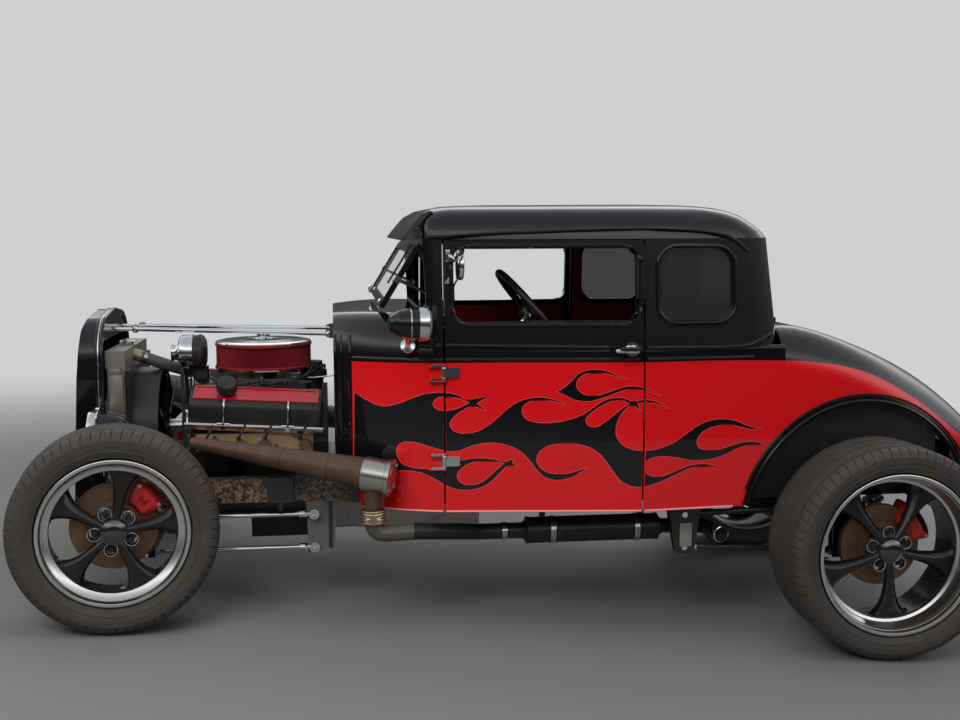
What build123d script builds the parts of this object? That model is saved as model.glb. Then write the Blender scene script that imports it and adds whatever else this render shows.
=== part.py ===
"""Chopped five-window style hot rod coupe with an open engine, in millimetres.

The car is modelled level, in its body frame: s runs rearward from the front hubs, y to the
car's left and z up. One placement at the end tips it nose down onto its wheels.
"""
import os
from math import atan2, cos, degrees, hypot, radians, sin

from build123d import *

# Wheels and tyres, heights are in the body frame
WHEELBASE = 2561.0
FRONT_HUB_Z = 400.0
REAR_HUB_Z = 265.0
FRONT_TYRE_R = 328.0
REAR_TYRE_R = 362.0
RAKE = degrees(atan2(FRONT_HUB_Z - FRONT_TYRE_R - REAR_HUB_Z + REAR_TYRE_R, WHEELBASE))
FRONT_TYRE_W = 215.0
REAR_TYRE_W = 285.0
FRONT_RIM_R = 235.8
REAR_RIM_R = 273.9
FRONT_FACE_Y = 746.0
REAR_FACE_Y = 851.0
FRONT_RIM_W = 194.0
REAR_RIM_W = 264.0
LIP_WALL = 14.0
BARREL_WALL = 10.0
SPOKES = 5
HUB_R = 70.0
CAP_R = 40.0
FRONT_DISH = 30.0
REAR_DISH = 70.0
FRONT_SPOKE_ANGLE = 7.0
REAR_SPOKE_ANGLE = -14.0
STEER_REST = 8.0
KINGPIN_Y = 560.0
DISC_R = 140.0
DISC_T = 22.0
DISC_FACE = 134.0
STEER_ARM = 110.0
TIE_DROP = 95.0
SPINDLE_R = 16.7
RUNNING_GAP = 0.3
AXLE_DROP = 100.0
AXLE_R = 25.0
BAR_Y = 352.0
BAR_Z = (353.0, 235.0)
BAR_S = (52.0, 640.0)
BAR_R = 8.0

# Body stations, rearward from the front hubs
COWL_FRONT = 716.0
DOOR_FRONT = 1080.0
DOOR_REAR = 1744.0
CAB_REAR = 2236.0
TAIL_END = WHEELBASE + 519.0

# Body half widths at those stations
W_COWL = 395.0
W_DOOR_FRONT = 590.0
W_DOOR_REAR = 672.0
W_CAB_REAR = 632.0
W_TAIL = 520.0
TUMBLEHOME = 34.0

# Body heights
SILL_Z = 398.0
BELT_Z = 930.0
RAIL_Z = 1312.0
ROOF_Z = 1427.0
COWL_TOP_Z = 1052.0
WALL = 30.0
PANEL_GAP = 6.0
DOOR_WALL = 42.0
DOOR_OPEN = 62.0
LID_OPEN = 55.0
WINDOW_Z = (1036.0, 1280.0)
DOOR_WINDOW = (DOOR_FRONT + 34.0, DOOR_REAR - 24.0)
QUARTER_WINDOW = (DOOR_REAR + 48.0, CAB_REAR - 186.0)
WINDOW_CORNER = 34.0
BACK_WINDOW = (560.0, 150.0)
BACK_WINDOW_Z = 1150.0
GLASS_T = 6.0
ARCH_R = 418.0
ARCH_Z = 318.0
ARCH_S = WHEELBASE - 25.0

# Frame
RAIL_W = 50.0
RAIL_H = 84.0
RAIL_TOP = 478.0
RAIL_Y_FRONT = 300.0
RAIL_Y_REAR = 420.0
KICK_S = WHEELBASE - 311.0
REAR_KICK_Z = 500.0
FRAME_END = TAIL_END - 100.0
JACK_S = (1200.0, 2120.0)
JACK_PAD = (60.0, 40.0, 6.0)


def at(shape, s=0.0, y=0.0, z=0.0):
    """Places a shape at a station, a side and a height."""
    return Pos(-s, y, z) * shape


def block(s0, s1, y0, y1, z0, z1):
    """A plain block between two stations, sides and heights."""
    size = Box(s1 - s0, y1 - y0, z1 - z0)
    return at(size, (s0 + s1) / 2, (y0 + y1) / 2, (z0 + z1) / 2)


def rod(a, b, radius):
    """A round bar from one point to another, both as (s, y, z)."""
    start, end = Vector(-a[0], a[1], a[2]), Vector(-b[0], b[1], b[2])
    way = end - start
    return Plane(origin=start, z_dir=way) * Pos(0, 0, way.length / 2) * Cylinder(radius, way.length)


def tube_along(points, radius, bends):
    """A pipe of straight runs and tangent arcs through (s, y, z) points."""
    path = FilletPolyline(*[(-s, y, z) for s, y, z in points], radius=bends)
    start = Plane(origin=path @ 0, z_dir=path % 0)
    return sweep(start * Circle(radius), path=path)


def disc(radius, width, s, y, z, bore=0.0):
    """A disc or ring whose axle lies across the car."""
    ring = Cylinder(radius, width)
    if bore:
        ring -= Cylinder(bore, width * 2)
    return at(Rot(90, 0, 0) * ring, s, y, z)


def both(shape):
    """The left piece and its mirror on the right, as one compound."""
    return Compound([*shape.solids(), *mirror(shape, about=Plane.XZ).solids()])


def side_plate(outline, y0, y1):
    """A plate cut to an (s, z) outline, between two sides."""
    face = make_face(Polyline(*[(-s, z) for s, z in outline], close=True))
    plate = extrude(Plane.XZ * face, amount=-(y1 - y0))
    return Pos(0, y0, 0) * plate


def rounded_prism(s0, s1, z0, z1, corner, y0, y1):
    """A block with rounded corners in the side view, for windows."""
    face = Pos(-(s0 + s1) / 2, (z0 + z1) / 2) * RectangleRounded(s1 - s0, z1 - z0, corner)
    return Pos(0, y0, 0) * extrude(Plane.XZ * face, amount=-(y1 - y0))


PARTS = {}


def keep(name, shape):
    """Stores a finished piece under its node's name."""
    PARTS[name] = shape
    return shape


# Wheels, each turned about an axle along y with its outer flange on y = 0

def rim(radius, width, dish, angle):
    """Barrel, lip, five flared spokes, hub with its cap, and the brake disc behind."""
    seat = radius - LIP_WALL - 4
    inner = seat - BARREL_WALL
    outline = [
        (0, radius), (0, radius - LIP_WALL), (-dish, inner), (-width + 20, inner),
        (-width, radius - LIP_WALL), (-width, radius), (-width + LIP_WALL, radius),
        (-width + LIP_WALL + 4, seat), (-LIP_WALL - 4, seat), (-LIP_WALL, radius),
    ]
    section = make_face(Polyline(*[(r, y) for y, r in outline], close=True))
    wheel = revolve(section, Axis.Y)
    spoke = make_face(Polyline(
        (HUB_R - 20, 24), (inner * 0.62, 17), (inner * 0.84, 26), (inner + 3, 58),
        (inner + 3, -58), (inner * 0.84, -26), (inner * 0.62, -17), (HUB_R - 20, -24),
        close=True))
    for number in range(SPOKES):
        arm = Pos(0, -dish, 0) * extrude(Plane.XZ * spoke, amount=34)
        arm &= disc(seat - 3, width * 2, 0, 0, 0)
        wheel += Rot(0, angle + number * 360 / SPOKES - 180, 0) * arm
    depth = DISC_FACE + dish - FRONT_DISH
    wheel += disc(HUB_R, 40, 0, -dish - 20, 0)
    wheel += disc(HUB_R - 14, depth - dish, 0, -(depth + dish) / 2, 0)
    wheel += disc(DISC_R, DISC_T, 0, -depth + DISC_T / 2, 0)
    wheel += disc(CAP_R, 24, 0, -dish + 8, 0)
    bore = disc(SPINDLE_R + RUNNING_GAP, depth - dish, 0, -(depth + dish) / 2 - 14, 0)
    return wheel - bore


def tyre(radius, rim_radius, width, rim_width):
    """A plain tyre, its tread left smooth, seated on the barrel between the flanges."""
    seat = rim_radius - LIP_WALL - 3.8
    mid = -rim_width / 2
    half = width / 2
    side = radius - rim_radius
    bead = rim_width / 2 - LIP_WALL - 5
    right = [
        (bead, seat), (bead, rim_radius + 1.5), (half - 6, rim_radius + side * 0.22),
        (half, rim_radius + side * 0.5), (half - 7, radius - 22), (half - 22, radius - 6),
        (half - 50, radius),
    ]
    left = [(-y, r) for y, r in reversed(right)]
    section = make_face(Polyline(*[(r, mid + y) for y, r in right + left], close=True))
    return revolve(section, Axis.Y)


# Each wheel has its name, station, hub height, face, tyre and rim sizes, dish and spoke angle
WHEELS = [
    ("fl", 0.0, FRONT_HUB_Z, FRONT_FACE_Y, 1, FRONT_TYRE_R, FRONT_RIM_R, FRONT_TYRE_W,
     FRONT_RIM_W, FRONT_DISH, FRONT_SPOKE_ANGLE),
    ("fr", 0.0, FRONT_HUB_Z, FRONT_FACE_Y, -1, FRONT_TYRE_R, FRONT_RIM_R, FRONT_TYRE_W,
     FRONT_RIM_W, FRONT_DISH, FRONT_SPOKE_ANGLE),
    ("rl", WHEELBASE, REAR_HUB_Z, REAR_FACE_Y, 1, REAR_TYRE_R, REAR_RIM_R, REAR_TYRE_W,
     REAR_RIM_W, REAR_DISH, REAR_SPOKE_ANGLE),
    ("rr", WHEELBASE, REAR_HUB_Z, REAR_FACE_Y, -1, REAR_TYRE_R, REAR_RIM_R, REAR_TYRE_W,
     REAR_RIM_W, REAR_DISH, REAR_SPOKE_ANGLE),
]


def steered(shape, side):
    """Turns a front corner's piece about its kingpin to the parked steering angle."""
    pin = Pos(0, side * KINGPIN_Y, 0)
    return pin * Rot(0, 0, STEER_REST) * Pos(0, -side * KINGPIN_Y, 0) * shape


for name, s, z, face, side, tyre_r, rim_r, tyre_w, rim_w, dish, angle in WHEELS:
    for kind, shape in (("wheel", rim(rim_r, rim_w, dish, angle)),
                        ("tyre", tyre(tyre_r, rim_r, tyre_w, rim_w))):
        if side < 0:
            shape = mirror(shape, about=Plane.XZ)
        shape = at(shape, s, side * face, z)
        if s == 0:
            shape = steered(shape, side)
        keep(f"{kind}_{name}", shape)


# Front suspension: dropped tube axle, knuckles, tie rod, four bars, spring and shocks

PIN_R = 11.0
BOSS_R = 20.0
EAR_T = 14.0
BOSS_H = 56.0
BEAM_Z = FRONT_HUB_Z - AXLE_DROP
ARM_Z = FRONT_HUB_Z - TIE_DROP

axle = tube_along(
    [(0, -KINGPIN_Y + BOSS_R - 4, FRONT_HUB_Z), (0, -KINGPIN_Y + 95, FRONT_HUB_Z - 22),
     (0, -KINGPIN_Y + 175, BEAM_Z), (0, KINGPIN_Y - 175, BEAM_Z),
     (0, KINGPIN_Y - 95, FRONT_HUB_Z - 22), (0, KINGPIN_Y - BOSS_R + 4, FRONT_HUB_Z)],
    AXLE_R, [60, 60, 60, 60])
boss = at(Cylinder(BOSS_R, BOSS_H), 0, KINGPIN_Y, FRONT_HUB_Z)
hole = at(Cylinder(PIN_R + RUNNING_GAP, BOSS_H * 2), 0, KINGPIN_Y, FRONT_HUB_Z)
wing = side_plate(
    [(-20, BEAM_Z + 24), (30, BAR_Z[0] + 22), (BAR_S[0] + 14, BAR_Z[0] + 14),
     (BAR_S[0] + 14, BAR_Z[0] - 14), (34, BEAM_Z), (BAR_S[0] + 14, BAR_Z[1] + 14),
     (BAR_S[0] + 14, BAR_Z[1] - 14), (30, BAR_Z[1] - 20), (-20, BEAM_Z - 24)],
    BAR_Y - 22, BAR_Y - 12)
shock_foot = block(16, 66, 392, 408, BEAM_Z + 4, BEAM_Z + 45)
for side in (1, -1):
    axle = axle + (shock_foot if side > 0 else mirror(shock_foot, about=Plane.XZ))
    axle = axle + (boss if side > 0 else mirror(boss, about=Plane.XZ))
    axle = axle - (hole if side > 0 else mirror(hole, about=Plane.XZ))
    axle = axle + (wing if side > 0 else mirror(wing, about=Plane.XZ))
keep("front_axle", axle)

ear_gap = BOSS_H / 2 + 2
disc_plane = FRONT_FACE_Y - DISC_FACE
plate_y = disc_plane - 13
ear = block(-22, 22, KINGPIN_Y, plate_y, 0, EAR_T) + at(Cylinder(22, EAR_T), 0, KINGPIN_Y, EAR_T / 2)
knuckle = at(ear, 0, 0, FRONT_HUB_Z + ear_gap) + at(ear, 0, 0, FRONT_HUB_Z - ear_gap - EAR_T)
knuckle += block(-22, 22, plate_y - 13, plate_y, FRONT_HUB_Z - ear_gap - EAR_T,
                 FRONT_HUB_Z + ear_gap + EAR_T)
knuckle += at(Cylinder(PIN_R, 2 * (ear_gap + EAR_T)), 0, KINGPIN_Y, FRONT_HUB_Z)
spindle_end = FRONT_FACE_Y - FRONT_DISH - 22
knuckle += disc(SPINDLE_R, spindle_end - plate_y + 6, 0, (spindle_end + plate_y - 6) / 2, FRONT_HUB_Z)
knuckle += rod((16, KINGPIN_Y, FRONT_HUB_Z - ear_gap - 11), (STEER_ARM, KINGPIN_Y, ARM_Z), 10)
knuckle += at(Cylinder(13, 22), STEER_ARM, KINGPIN_Y, ARM_Z)
CALIPER = (72.0, 122.0, 62.0, 112.0)
caliper = block(CALIPER[0], CALIPER[1], disc_plane - 20, disc_plane + DISC_T + 24,
                FRONT_HUB_Z + CALIPER[2], FRONT_HUB_Z + CALIPER[3])
slot = disc(DISC_R + 4, DISC_T + 8, 0, disc_plane + DISC_T / 2, FRONT_HUB_Z)
carrier = block(0, CALIPER[1], plate_y - 12, plate_y, FRONT_HUB_Z + 28, FRONT_HUB_Z + CALIPER[3])
knuckle += carrier + (caliper - slot)
ball_hole = at(Cylinder(5.3, 60), STEER_ARM, KINGPIN_Y, ARM_Z)
knuckle = knuckle - ball_hole
for side, name in ((1, "left"), (-1, "right")):
    shape = knuckle if side > 0 else mirror(knuckle, about=Plane.XZ)
    keep(f"knuckle_{name}", steered(shape, side))

turn = radians(STEER_REST)
ball = {side: (STEER_ARM * cos(turn), side * KINGPIN_Y - STEER_ARM * sin(turn)) for side in (1, -1)}
TIE_Z = ARM_Z - 11 - 13
tie_rod = rod((ball[-1][0], ball[-1][1], TIE_Z), (ball[1][0], ball[1][1], TIE_Z), 9)
for side in (1, -1):
    s, y = ball[side]
    tie_rod += at(Cylinder(13, 22), s, y, TIE_Z)
    tie_rod += at(Cylinder(5, 46), s, y, ARM_Z - 12)
keep("tie_rod", tie_rod)

bars = []
for z in BAR_Z:
    bars += [rod((BAR_S[0], BAR_Y, z), (BAR_S[1], BAR_Y, z), BAR_R)]
    for s in BAR_S:
        bars += [disc(16, 24, s, BAR_Y, z)]
bracket = side_plate(
    [(BAR_S[1] - 22, BAR_Z[1] - 24), (BAR_S[1] + 70, BAR_Z[1] - 10), (BAR_S[1] + 80, RAIL_TOP - RAIL_H),
     (BAR_S[1] - 30, RAIL_TOP - RAIL_H), (BAR_S[1] - 26, BAR_Z[0])], BAR_Y - 24, BAR_Y - 12)
four_bar = bars[0]
for piece in bars[1:]:
    four_bar = four_bar + piece
keep("front_four_bars", both(four_bar + bracket))


# Frame: two box rails that sweep up over the rear axle, with four cross members

def rail_path(side):
    """One rail as straight boxes from the radiator to the rear cross member."""
    low, high = RAIL_TOP - RAIL_H, RAIL_TOP
    points = [(-60, RAIL_Y_FRONT), (640, RAIL_Y_FRONT + 10), (1080, RAIL_Y_REAR), (FRAME_END, RAIL_Y_REAR)]
    plan = [(s, y - RAIL_W / 2) for s, y in points] + [(s, y + RAIL_W / 2) for s, y in reversed(points)]
    flat = extrude(make_face(Polyline(*[(-s, y) for s, y in plan], close=True)), amount=900)
    view = side_plate(
        [(-60, high), (-60, low + 24), (120, low), (KICK_S, low), (KICK_S + 110, REAR_KICK_Z),
         (FRAME_END - 260, REAR_KICK_Z), (FRAME_END, low + 90), (FRAME_END, high + 60),
         (FRAME_END - 240, REAR_KICK_Z + RAIL_H - 10), (KICK_S + 80, REAR_KICK_Z + RAIL_H - 10),
         (KICK_S - 30, high)], 0, 600)
    rail = flat & view
    return rail if side > 0 else mirror(rail, about=Plane.XZ)


frame = rail_path(1) + rail_path(-1)
reach = RAIL_Y_FRONT + 4
frame += block(-58, -8, -reach, reach, RAIL_TOP - 70, RAIL_TOP - 20)
frame += block(1800, 1850, -RAIL_Y_REAR, RAIL_Y_REAR, RAIL_TOP - RAIL_H + 4, RAIL_TOP - 30)
frame += block(FRAME_END - 50, FRAME_END, -RAIL_Y_REAR, RAIL_Y_REAR, RAIL_TOP - 20, RAIL_TOP + 40)
body_mount = rounded_prism(DOOR_FRONT + 20, KICK_S - 150, RAIL_TOP - 50, RAIL_TOP - 4, 6, RAIL_Y_REAR + RAIL_W / 2 - 1,
                           RAIL_Y_REAR + 80)
frame = frame + body_mount + mirror(body_mount, about=Plane.XZ)
for s in JACK_S:
    for side in (1, -1):
        frame += at(Box(JACK_PAD[0], JACK_PAD[1], JACK_PAD[2] + 1), s, side * RAIL_Y_REAR,
                    RAIL_TOP - RAIL_H - (JACK_PAD[2] - 1) / 2)
keep("frame_rails", frame)

# Transverse leaf spring over the axle, with a tubular shock at each end
LEAVES = 5
LEAF_T = 8.0
SPRING_HALF = 330.0
spring = None
for number in range(LEAVES):
    half = SPRING_HALF - number * 55
    z = BEAM_Z + AXLE_R + 34 + number * LEAF_T
    leaf = block(-74, -30, -half, half, z, z + LEAF_T)
    spring = leaf if spring is None else spring + leaf
top_leaf = BEAM_Z + AXLE_R + 34 + LEAVES * LEAF_T
spring += block(-70, -34, -60, 60, top_leaf, RAIL_TOP - 70)
for side in (1, -1):
    spring += rod((-52, side * (SPRING_HALF - 12), BEAM_Z + AXLE_R + 36),
                  (-52, side * (SPRING_HALF - 12), BEAM_Z - 12), 9)
    spring += block(-62, -AXLE_R - 0.3, side * (SPRING_HALF - 12) - 12, side * (SPRING_HALF - 12) + 12,
                    BEAM_Z - 16, BEAM_Z + 16)
    spring += rod((56, side * 400, BEAM_Z + 70), (40, side * 348, RAIL_TOP + 40), 22)
    spring += rod((40, side * 348, RAIL_TOP + 20), (36, side * 330, RAIL_TOP + 92), 9)
    spring += block(18, 54, side * 310 - 24, side * 330 + 16, RAIL_TOP + 84, RAIL_TOP + 100)
    spring += block(18, 54, side * 306 - 8, side * 306 + 8, RAIL_TOP, RAIL_TOP + 92)
    spring += block(44, 66, side * 400 - 10, side * 400 + 10, BEAM_Z + 45.3, BEAM_Z + 84)
keep("front_spring_shocks", spring)

# Rear axle with its calipers, links and coil-overs
AXLE_TUBE_R = 38.0
rear_disc_y = REAR_FACE_Y - (DISC_FACE + REAR_DISH - FRONT_DISH)
rear_axle = disc(AXLE_TUBE_R, 2 * (rear_disc_y - 8), WHEELBASE, 0, REAR_HUB_Z)
rear_axle += at(Sphere(150), WHEELBASE, 0, REAR_HUB_Z) & block(
    WHEELBASE - 130, WHEELBASE + 150, -130, 130, REAR_HUB_Z - 140, REAR_HUB_Z + 140)
stub_end = REAR_FACE_Y - REAR_DISH - 22
for side in (1, -1):
    rear_axle += disc(SPINDLE_R, stub_end - rear_disc_y + 20, WHEELBASE,
                      side * (stub_end + rear_disc_y - 20) / 2, REAR_HUB_Z)
    y0, y1 = sorted((side * (rear_disc_y - 20), side * (rear_disc_y + DISC_T + 24)))
    pad = block(WHEELBASE + 60, WHEELBASE + 128, y0, y1, REAR_HUB_Z + 20, REAR_HUB_Z + 112)
    pad -= disc(DISC_R + 4, DISC_T + 8, WHEELBASE, side * (rear_disc_y + DISC_T / 2), REAR_HUB_Z)
    y0, y1 = sorted((side * (rear_disc_y - 20), side * (rear_disc_y - 8)))
    pad += block(WHEELBASE - 30, WHEELBASE + 128, y0, y1, REAR_HUB_Z + 20, REAR_HUB_Z + 112)
    pad += block(WHEELBASE - 30, WHEELBASE + 30, y0, y1, REAR_HUB_Z - 30, REAR_HUB_Z + 40)
    rear_axle += pad
LINK_Y = 505.0
LINK_Z = (REAR_HUB_Z + 88, REAR_HUB_Z - 70)
for side in (1, -1):
    y = side * LINK_Y
    rear_axle += block(WHEELBASE - 92, WHEELBASE + 26, y - 21, y - 12, LINK_Z[1] - 20, LINK_Z[0] + 20)
    rear_axle += block(WHEELBASE - 92, WHEELBASE + 26, y + 12, y + 21, LINK_Z[1] - 20, LINK_Z[0] + 20)
    rear_axle += block(WHEELBASE, WHEELBASE + 79.7, side * 492 - 8, side * 492 + 8, REAR_HUB_Z - 60, REAR_HUB_Z - 40)
    rear_axle += block(WHEELBASE, WHEELBASE + 26, y - 20, y + 20, REAR_HUB_Z - 64, REAR_HUB_Z - 30)
keep("rear_axle", rear_axle)

FRONT_EYE = (WHEELBASE - 636, (348.0, 232.0))
LINK_EAR = [(FRONT_EYE[0] - 65, RAIL_TOP - 60), (FRONT_EYE[0] + 65, RAIL_TOP - 60), (FRONT_EYE[0] + 35, 210),
            (FRONT_EYE[0] - 30, 210)]
links = []
for side in (1, -1):
    y = side * LINK_Y
    group = None
    for front_z, rear_z in zip(FRONT_EYE[1], LINK_Z):
        bar = rod((FRONT_EYE[0], y, front_z), (WHEELBASE - 66, y, rear_z), 11)
        bar += disc(17, 23.4, FRONT_EYE[0], y, front_z) + disc(17, 23.4, WHEELBASE - 66, y, rear_z)
        group = bar if group is None else group + bar
    inner = side_plate(LINK_EAR, y - 21, y - 12)
    outer = side_plate(LINK_EAR, y + 12, y + 21)
    links.append(group + inner + outer)
keep("rear_links", links[0] + links[1])

COIL_Y = 492.0
coils = []
for side in (1, -1):
    low = (WHEELBASE + 94, side * COIL_Y, REAR_HUB_Z - 50)
    high = (WHEELBASE + 19, side * COIL_Y, 690)
    mid = tuple(a + (b - a) * 0.42 for a, b in zip(low, high))
    start = tuple(a + (b - a) * 0.08 for a, b in zip(low, high))
    coil = rod(start, mid, 26) + rod(mid, high, 12)
    foot = tuple(a + (b - a) * 0.34 for a, b in zip(low, high))
    cap = tuple(a + (b - a) * 0.9 for a, b in zip(low, high))
    coil += rod(foot, cap, 38)
    coil += block(low[0] - 14, low[0] + 14, low[1] - 17, low[1] + 17, low[2] - 16, low[2] + 46)
    coils.append(coil)
hanger = block(WHEELBASE, WHEELBASE + 38, -COIL_Y - 20, COIL_Y + 20, 684, 704)
for y in (-RAIL_Y_REAR, RAIL_Y_REAR):
    hanger += block(WHEELBASE + 5, WHEELBASE + 33, y - 18, y + 18, REAR_KICK_Z + RAIL_H - 9.7, 686)
keep("rear_coilovers", coils[0] + coils[1] + hanger)

GEARBOX_END = 1540.0
SHAFT_Z = (330.0, REAR_HUB_Z)
driveshaft = rod((GEARBOX_END + 2.9, 0, SHAFT_Z[0]), (WHEELBASE - 132.9, 0, SHAFT_Z[1] + 2), 36)
keep("driveshaft", driveshaft)


# Engine: a V8 set between the rails, its banks leaning out at 45 degrees

CRANK_Z = 380.0
ENGINE_S = (215.0, 690.0)
COVER_S = (222.0, 664.0)
COVER_LOW = (300.0, 640.0)
COVER_HIGH = (195.0, 745.0)
COVER_RISE = 60.0
PORT = (300.0, 600.0)


def across(outline, s0, s1):
    """A solid with a (y, z) outline, running between two stations."""
    face = make_face(Polyline(*outline, close=True))
    return Pos(-s1, 0, 0) * extrude(Plane.YZ * face, amount=s1 - s0)


half_block = [
    (0, 211), (95, 211), (115, 300), (140, 330), (140, 440), (215, 505), PORT,
    COVER_LOW, COVER_HIGH, (135, 700), (70, 640), (0, 640),
]
left_block = across(half_block, *ENGINE_S)
engine = left_block + mirror(left_block, about=Plane.XZ)
engine -= block(ENGINE_S[0], ENGINE_S[0] + 190, -150, 150, 205, 300)
engine += block(330, 390, 139, RAIL_Y_FRONT - RAIL_W / 2 - 1, 400, 460)
engine += block(330, 390, -RAIL_Y_FRONT + RAIL_W / 2 + 1, -139, 400, 460)
keep("engine_block", engine)

rise = COVER_RISE / 2 ** 0.5
cover_outline = [
    COVER_LOW, (COVER_LOW[0] + rise, COVER_LOW[1] + rise - 4), (COVER_LOW[0] + rise - 8, COVER_LOW[1] + rise + 12),
    (COVER_HIGH[0] + rise + 8, COVER_HIGH[1] + rise - 4), (COVER_HIGH[0] + rise - 6, COVER_HIGH[1] + rise),
    COVER_HIGH,
]
cover = across(cover_outline, *COVER_S)
keep("valve_covers", both(cover))

CARB_Z = (760.0, 836.0)
AIR_S = 458.0
AIR_R = 178.0
AIR_Z = (836.0, 927.0)
intake = across([(-134, 702), (134, 702), (110, 720), (60, 730), (-60, 730), (-110, 720)], 240, 660)
intake += block(AIR_S - 70, AIR_S + 70, -62, 62, 729, CARB_Z[0])
intake += block(AIR_S - 62, AIR_S + 62, -58, 58, CARB_Z[0], CARB_Z[1] - 34)
intake += at(Cylinder(52, 36), AIR_S - 4, 0, CARB_Z[1] - 18)
for s in (AIR_S - 82, AIR_S + 76):
    intake += block(s - 14, s + 22, -52, 52, CARB_Z[0] - 4, CARB_Z[1] - 26)
intake += across([(-69, 641), (69, 641), (133, 701.5), (-133, 701.5)], 240, 660)
intake += rod((250.3, 0, 781.8), (292, 0, 753.3), 24) + block(262, 330, -30, 30, 725, 760)
keep("intake_carburettor", intake)

air = at(Cylinder(AIR_R, 9), AIR_S, 0, AIR_Z[0] + 4.5)
air += at(Cylinder(AIR_R - 14, AIR_Z[1] - AIR_Z[0] - 8), AIR_S, 0, (AIR_Z[0] + AIR_Z[1]) / 2)
air += at(Cylinder(AIR_R, 8), AIR_S, 0, AIR_Z[1])
air += at(Cone(AIR_R - 22, AIR_R - 40, 12), AIR_S, 0, AIR_Z[1] + 10)
air += at(Cylinder(14, 16), AIR_S, 0, AIR_Z[1] + 22)
keep("air_cleaner", air)

gearbox_outline = [(-150, 250), (150, 250), (190, 380), (140, 520), (-140, 520), (-190, 380)]
bell = across(gearbox_outline, ENGINE_S[1] + 1, 800)
gearbox = bell + across([(-120, 240), (120, 240), (125, 400), (80, 450), (-80, 450), (-125, 400)], 790, 1250)
gearbox += across([(-60, 270), (60, 270), (62, 360), (0, 396), (-62, 360)], 1240, GEARBOX_END - 26)
gearbox += block(1330, 1390, -RAIL_Y_REAR + RAIL_W / 2 + 0.3,
                 RAIL_Y_REAR - RAIL_W / 2 - 0.3, 400, 430)
gearbox += block(1330, 1390, -70, 70, 350, 402)
gearbox += rod((GEARBOX_END - 28, 0, SHAFT_Z[0]), (GEARBOX_END, 0, SHAFT_Z[0]), 40)
keep("transmission", gearbox)

FAN_Z = 620.0
FAN_S = 92.0
ALTERNATOR = (200.0, 112.0, 905.0)


def pulley(radius, s, y, z, width=30.0):
    """A grooved pulley turned about an axle along the car."""
    outline = [(0, -width / 2), (radius, -width / 2), (radius - 9, -2), (radius - 9, 2),
               (radius, width / 2), (0, width / 2)]
    shape = revolve(make_face(Polyline(*[(r, x) for r, x in outline], close=True)), Axis.Y)
    return at(Rot(0, 0, 90) * shape, s, y, z)


drive = pulley(82, 175, 0, CRANK_Z) + pulley(70, 175, 0, FAN_Z)
drive += rod((150, 0, CRANK_Z), (ENGINE_S[0] - 1, 0, CRANK_Z), 30)
drive += rod((FAN_S + 18 + RUNNING_GAP, 0, FAN_Z), (ENGINE_S[0] - 1, 0, FAN_Z), 24)
drive += across([(-95, 330), (95, 330), (110, 560), (60, 690), (-60, 690), (-110, 560)], 196, ENGINE_S[0] - 1)
drive += rod((165, ALTERNATOR[1], ALTERNATOR[2]), (262, ALTERNATOR[1], ALTERNATOR[2]), 62)
drive += pulley(36, 150, ALTERNATOR[1], ALTERNATOR[2], 24)
drive += rod((140, ALTERNATOR[1], ALTERNATOR[2]), (170, ALTERNATOR[1], ALTERNATOR[2]), 12)
drive += across([(60, 660), (100, 660), (170, 905), (135, 935), (95, 880)], 198, ENGINE_S[0] - 2)
drive += block(ENGINE_S[0] - 6, 262, 60, 120, 800, 850) + block(240, 262, 40, 100, 731, 850)
belt_way = make_face(Polyline((-70, 380), (-62, 620), (60, 700), (82, 905), (146, 905), (66, 620), (80, 380),
                              close=True))
belt = extrude(Plane.YZ * (belt_way - offset(belt_way, -7)), amount=14)
drive += Pos(-182, 0, 0) * belt
keep("front_drive", drive)

hub = rod((FAN_S - 20, 0, FAN_Z), (FAN_S + 18, 0, FAN_Z), 34)
FAN_BLADES = 6
FAN_R = 198.0
blade = Rot(0, 0, 24) * Box(5, 86, FAN_R - 30)
for number in range(FAN_BLADES):
    placed = Rot(number * 360 / FAN_BLADES, 0, 0) * Pos(0, 0, (FAN_R + 22) / 2) * blade
    hub += at(placed, FAN_S, 0, FAN_Z)
keep("fan", hub)

RADIATOR = (-66.0, -6.0, 250.0, RAIL_TOP - 19.7, 925.0)
shroud = block(-4, 6, -RADIATOR[2], RADIATOR[2], 402, 856)
shroud -= at(Rot(0, 90, 0) * Cylinder(FAN_R + 14, 60), 0, 0, FAN_Z)
ring = Rot(0, 90, 0) * (Cylinder(FAN_R + 22, 90) - Cylinder(FAN_R + 14, 100))
shroud += at(ring, 50, 0, FAN_Z)
keep("fan_shroud", shroud)

core = block(RADIATOR[0], RADIATOR[1], -RADIATOR[2], RADIATOR[2], RADIATOR[3] + 38, RADIATOR[4] - 60)
tank = block(RADIATOR[0] - 6, RADIATOR[1] + 1, -RADIATOR[2], RADIATOR[2], RADIATOR[4] - 61, RADIATOR[4])
base = block(RADIATOR[0] - 6, RADIATOR[1] + 1, -RADIATOR[2], RADIATOR[2], RADIATOR[3], RADIATOR[3] + 39)
neck = rod((-40, 0, RADIATOR[4] + 2), (-18, 0, RADIATOR[4] + 2), 20) + block(
    -50, -18, -24, 24, RADIATOR[4] - 10, RADIATOR[4] + 4)
outlet = rod((-10, 40, 895), (20, 40, 884), 21)
keep("radiator", core + tank + base + neck + outlet)

hose_path = [(20.3, 40, 883.9), (100, 40, 854.7), (196, 0, 819), (250, 0, 782)]
hose = tube_along(hose_path, 22, [90, 70])
keep("upper_hose", hose)


# Radiator shell with its bar grille, and the rods that brace it to the cowl

SHELL_TOP = 1058.0
SHELL_LOW = 392.0
SHELL_HALF = 288.0
SHELL_HALF_LOW = 232.0
SHELL_CORNER = 150.0
SHELL_WALL = 14.0
SHELL_BACK = -74.0
SHELL_LEAN = 46.0


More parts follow.
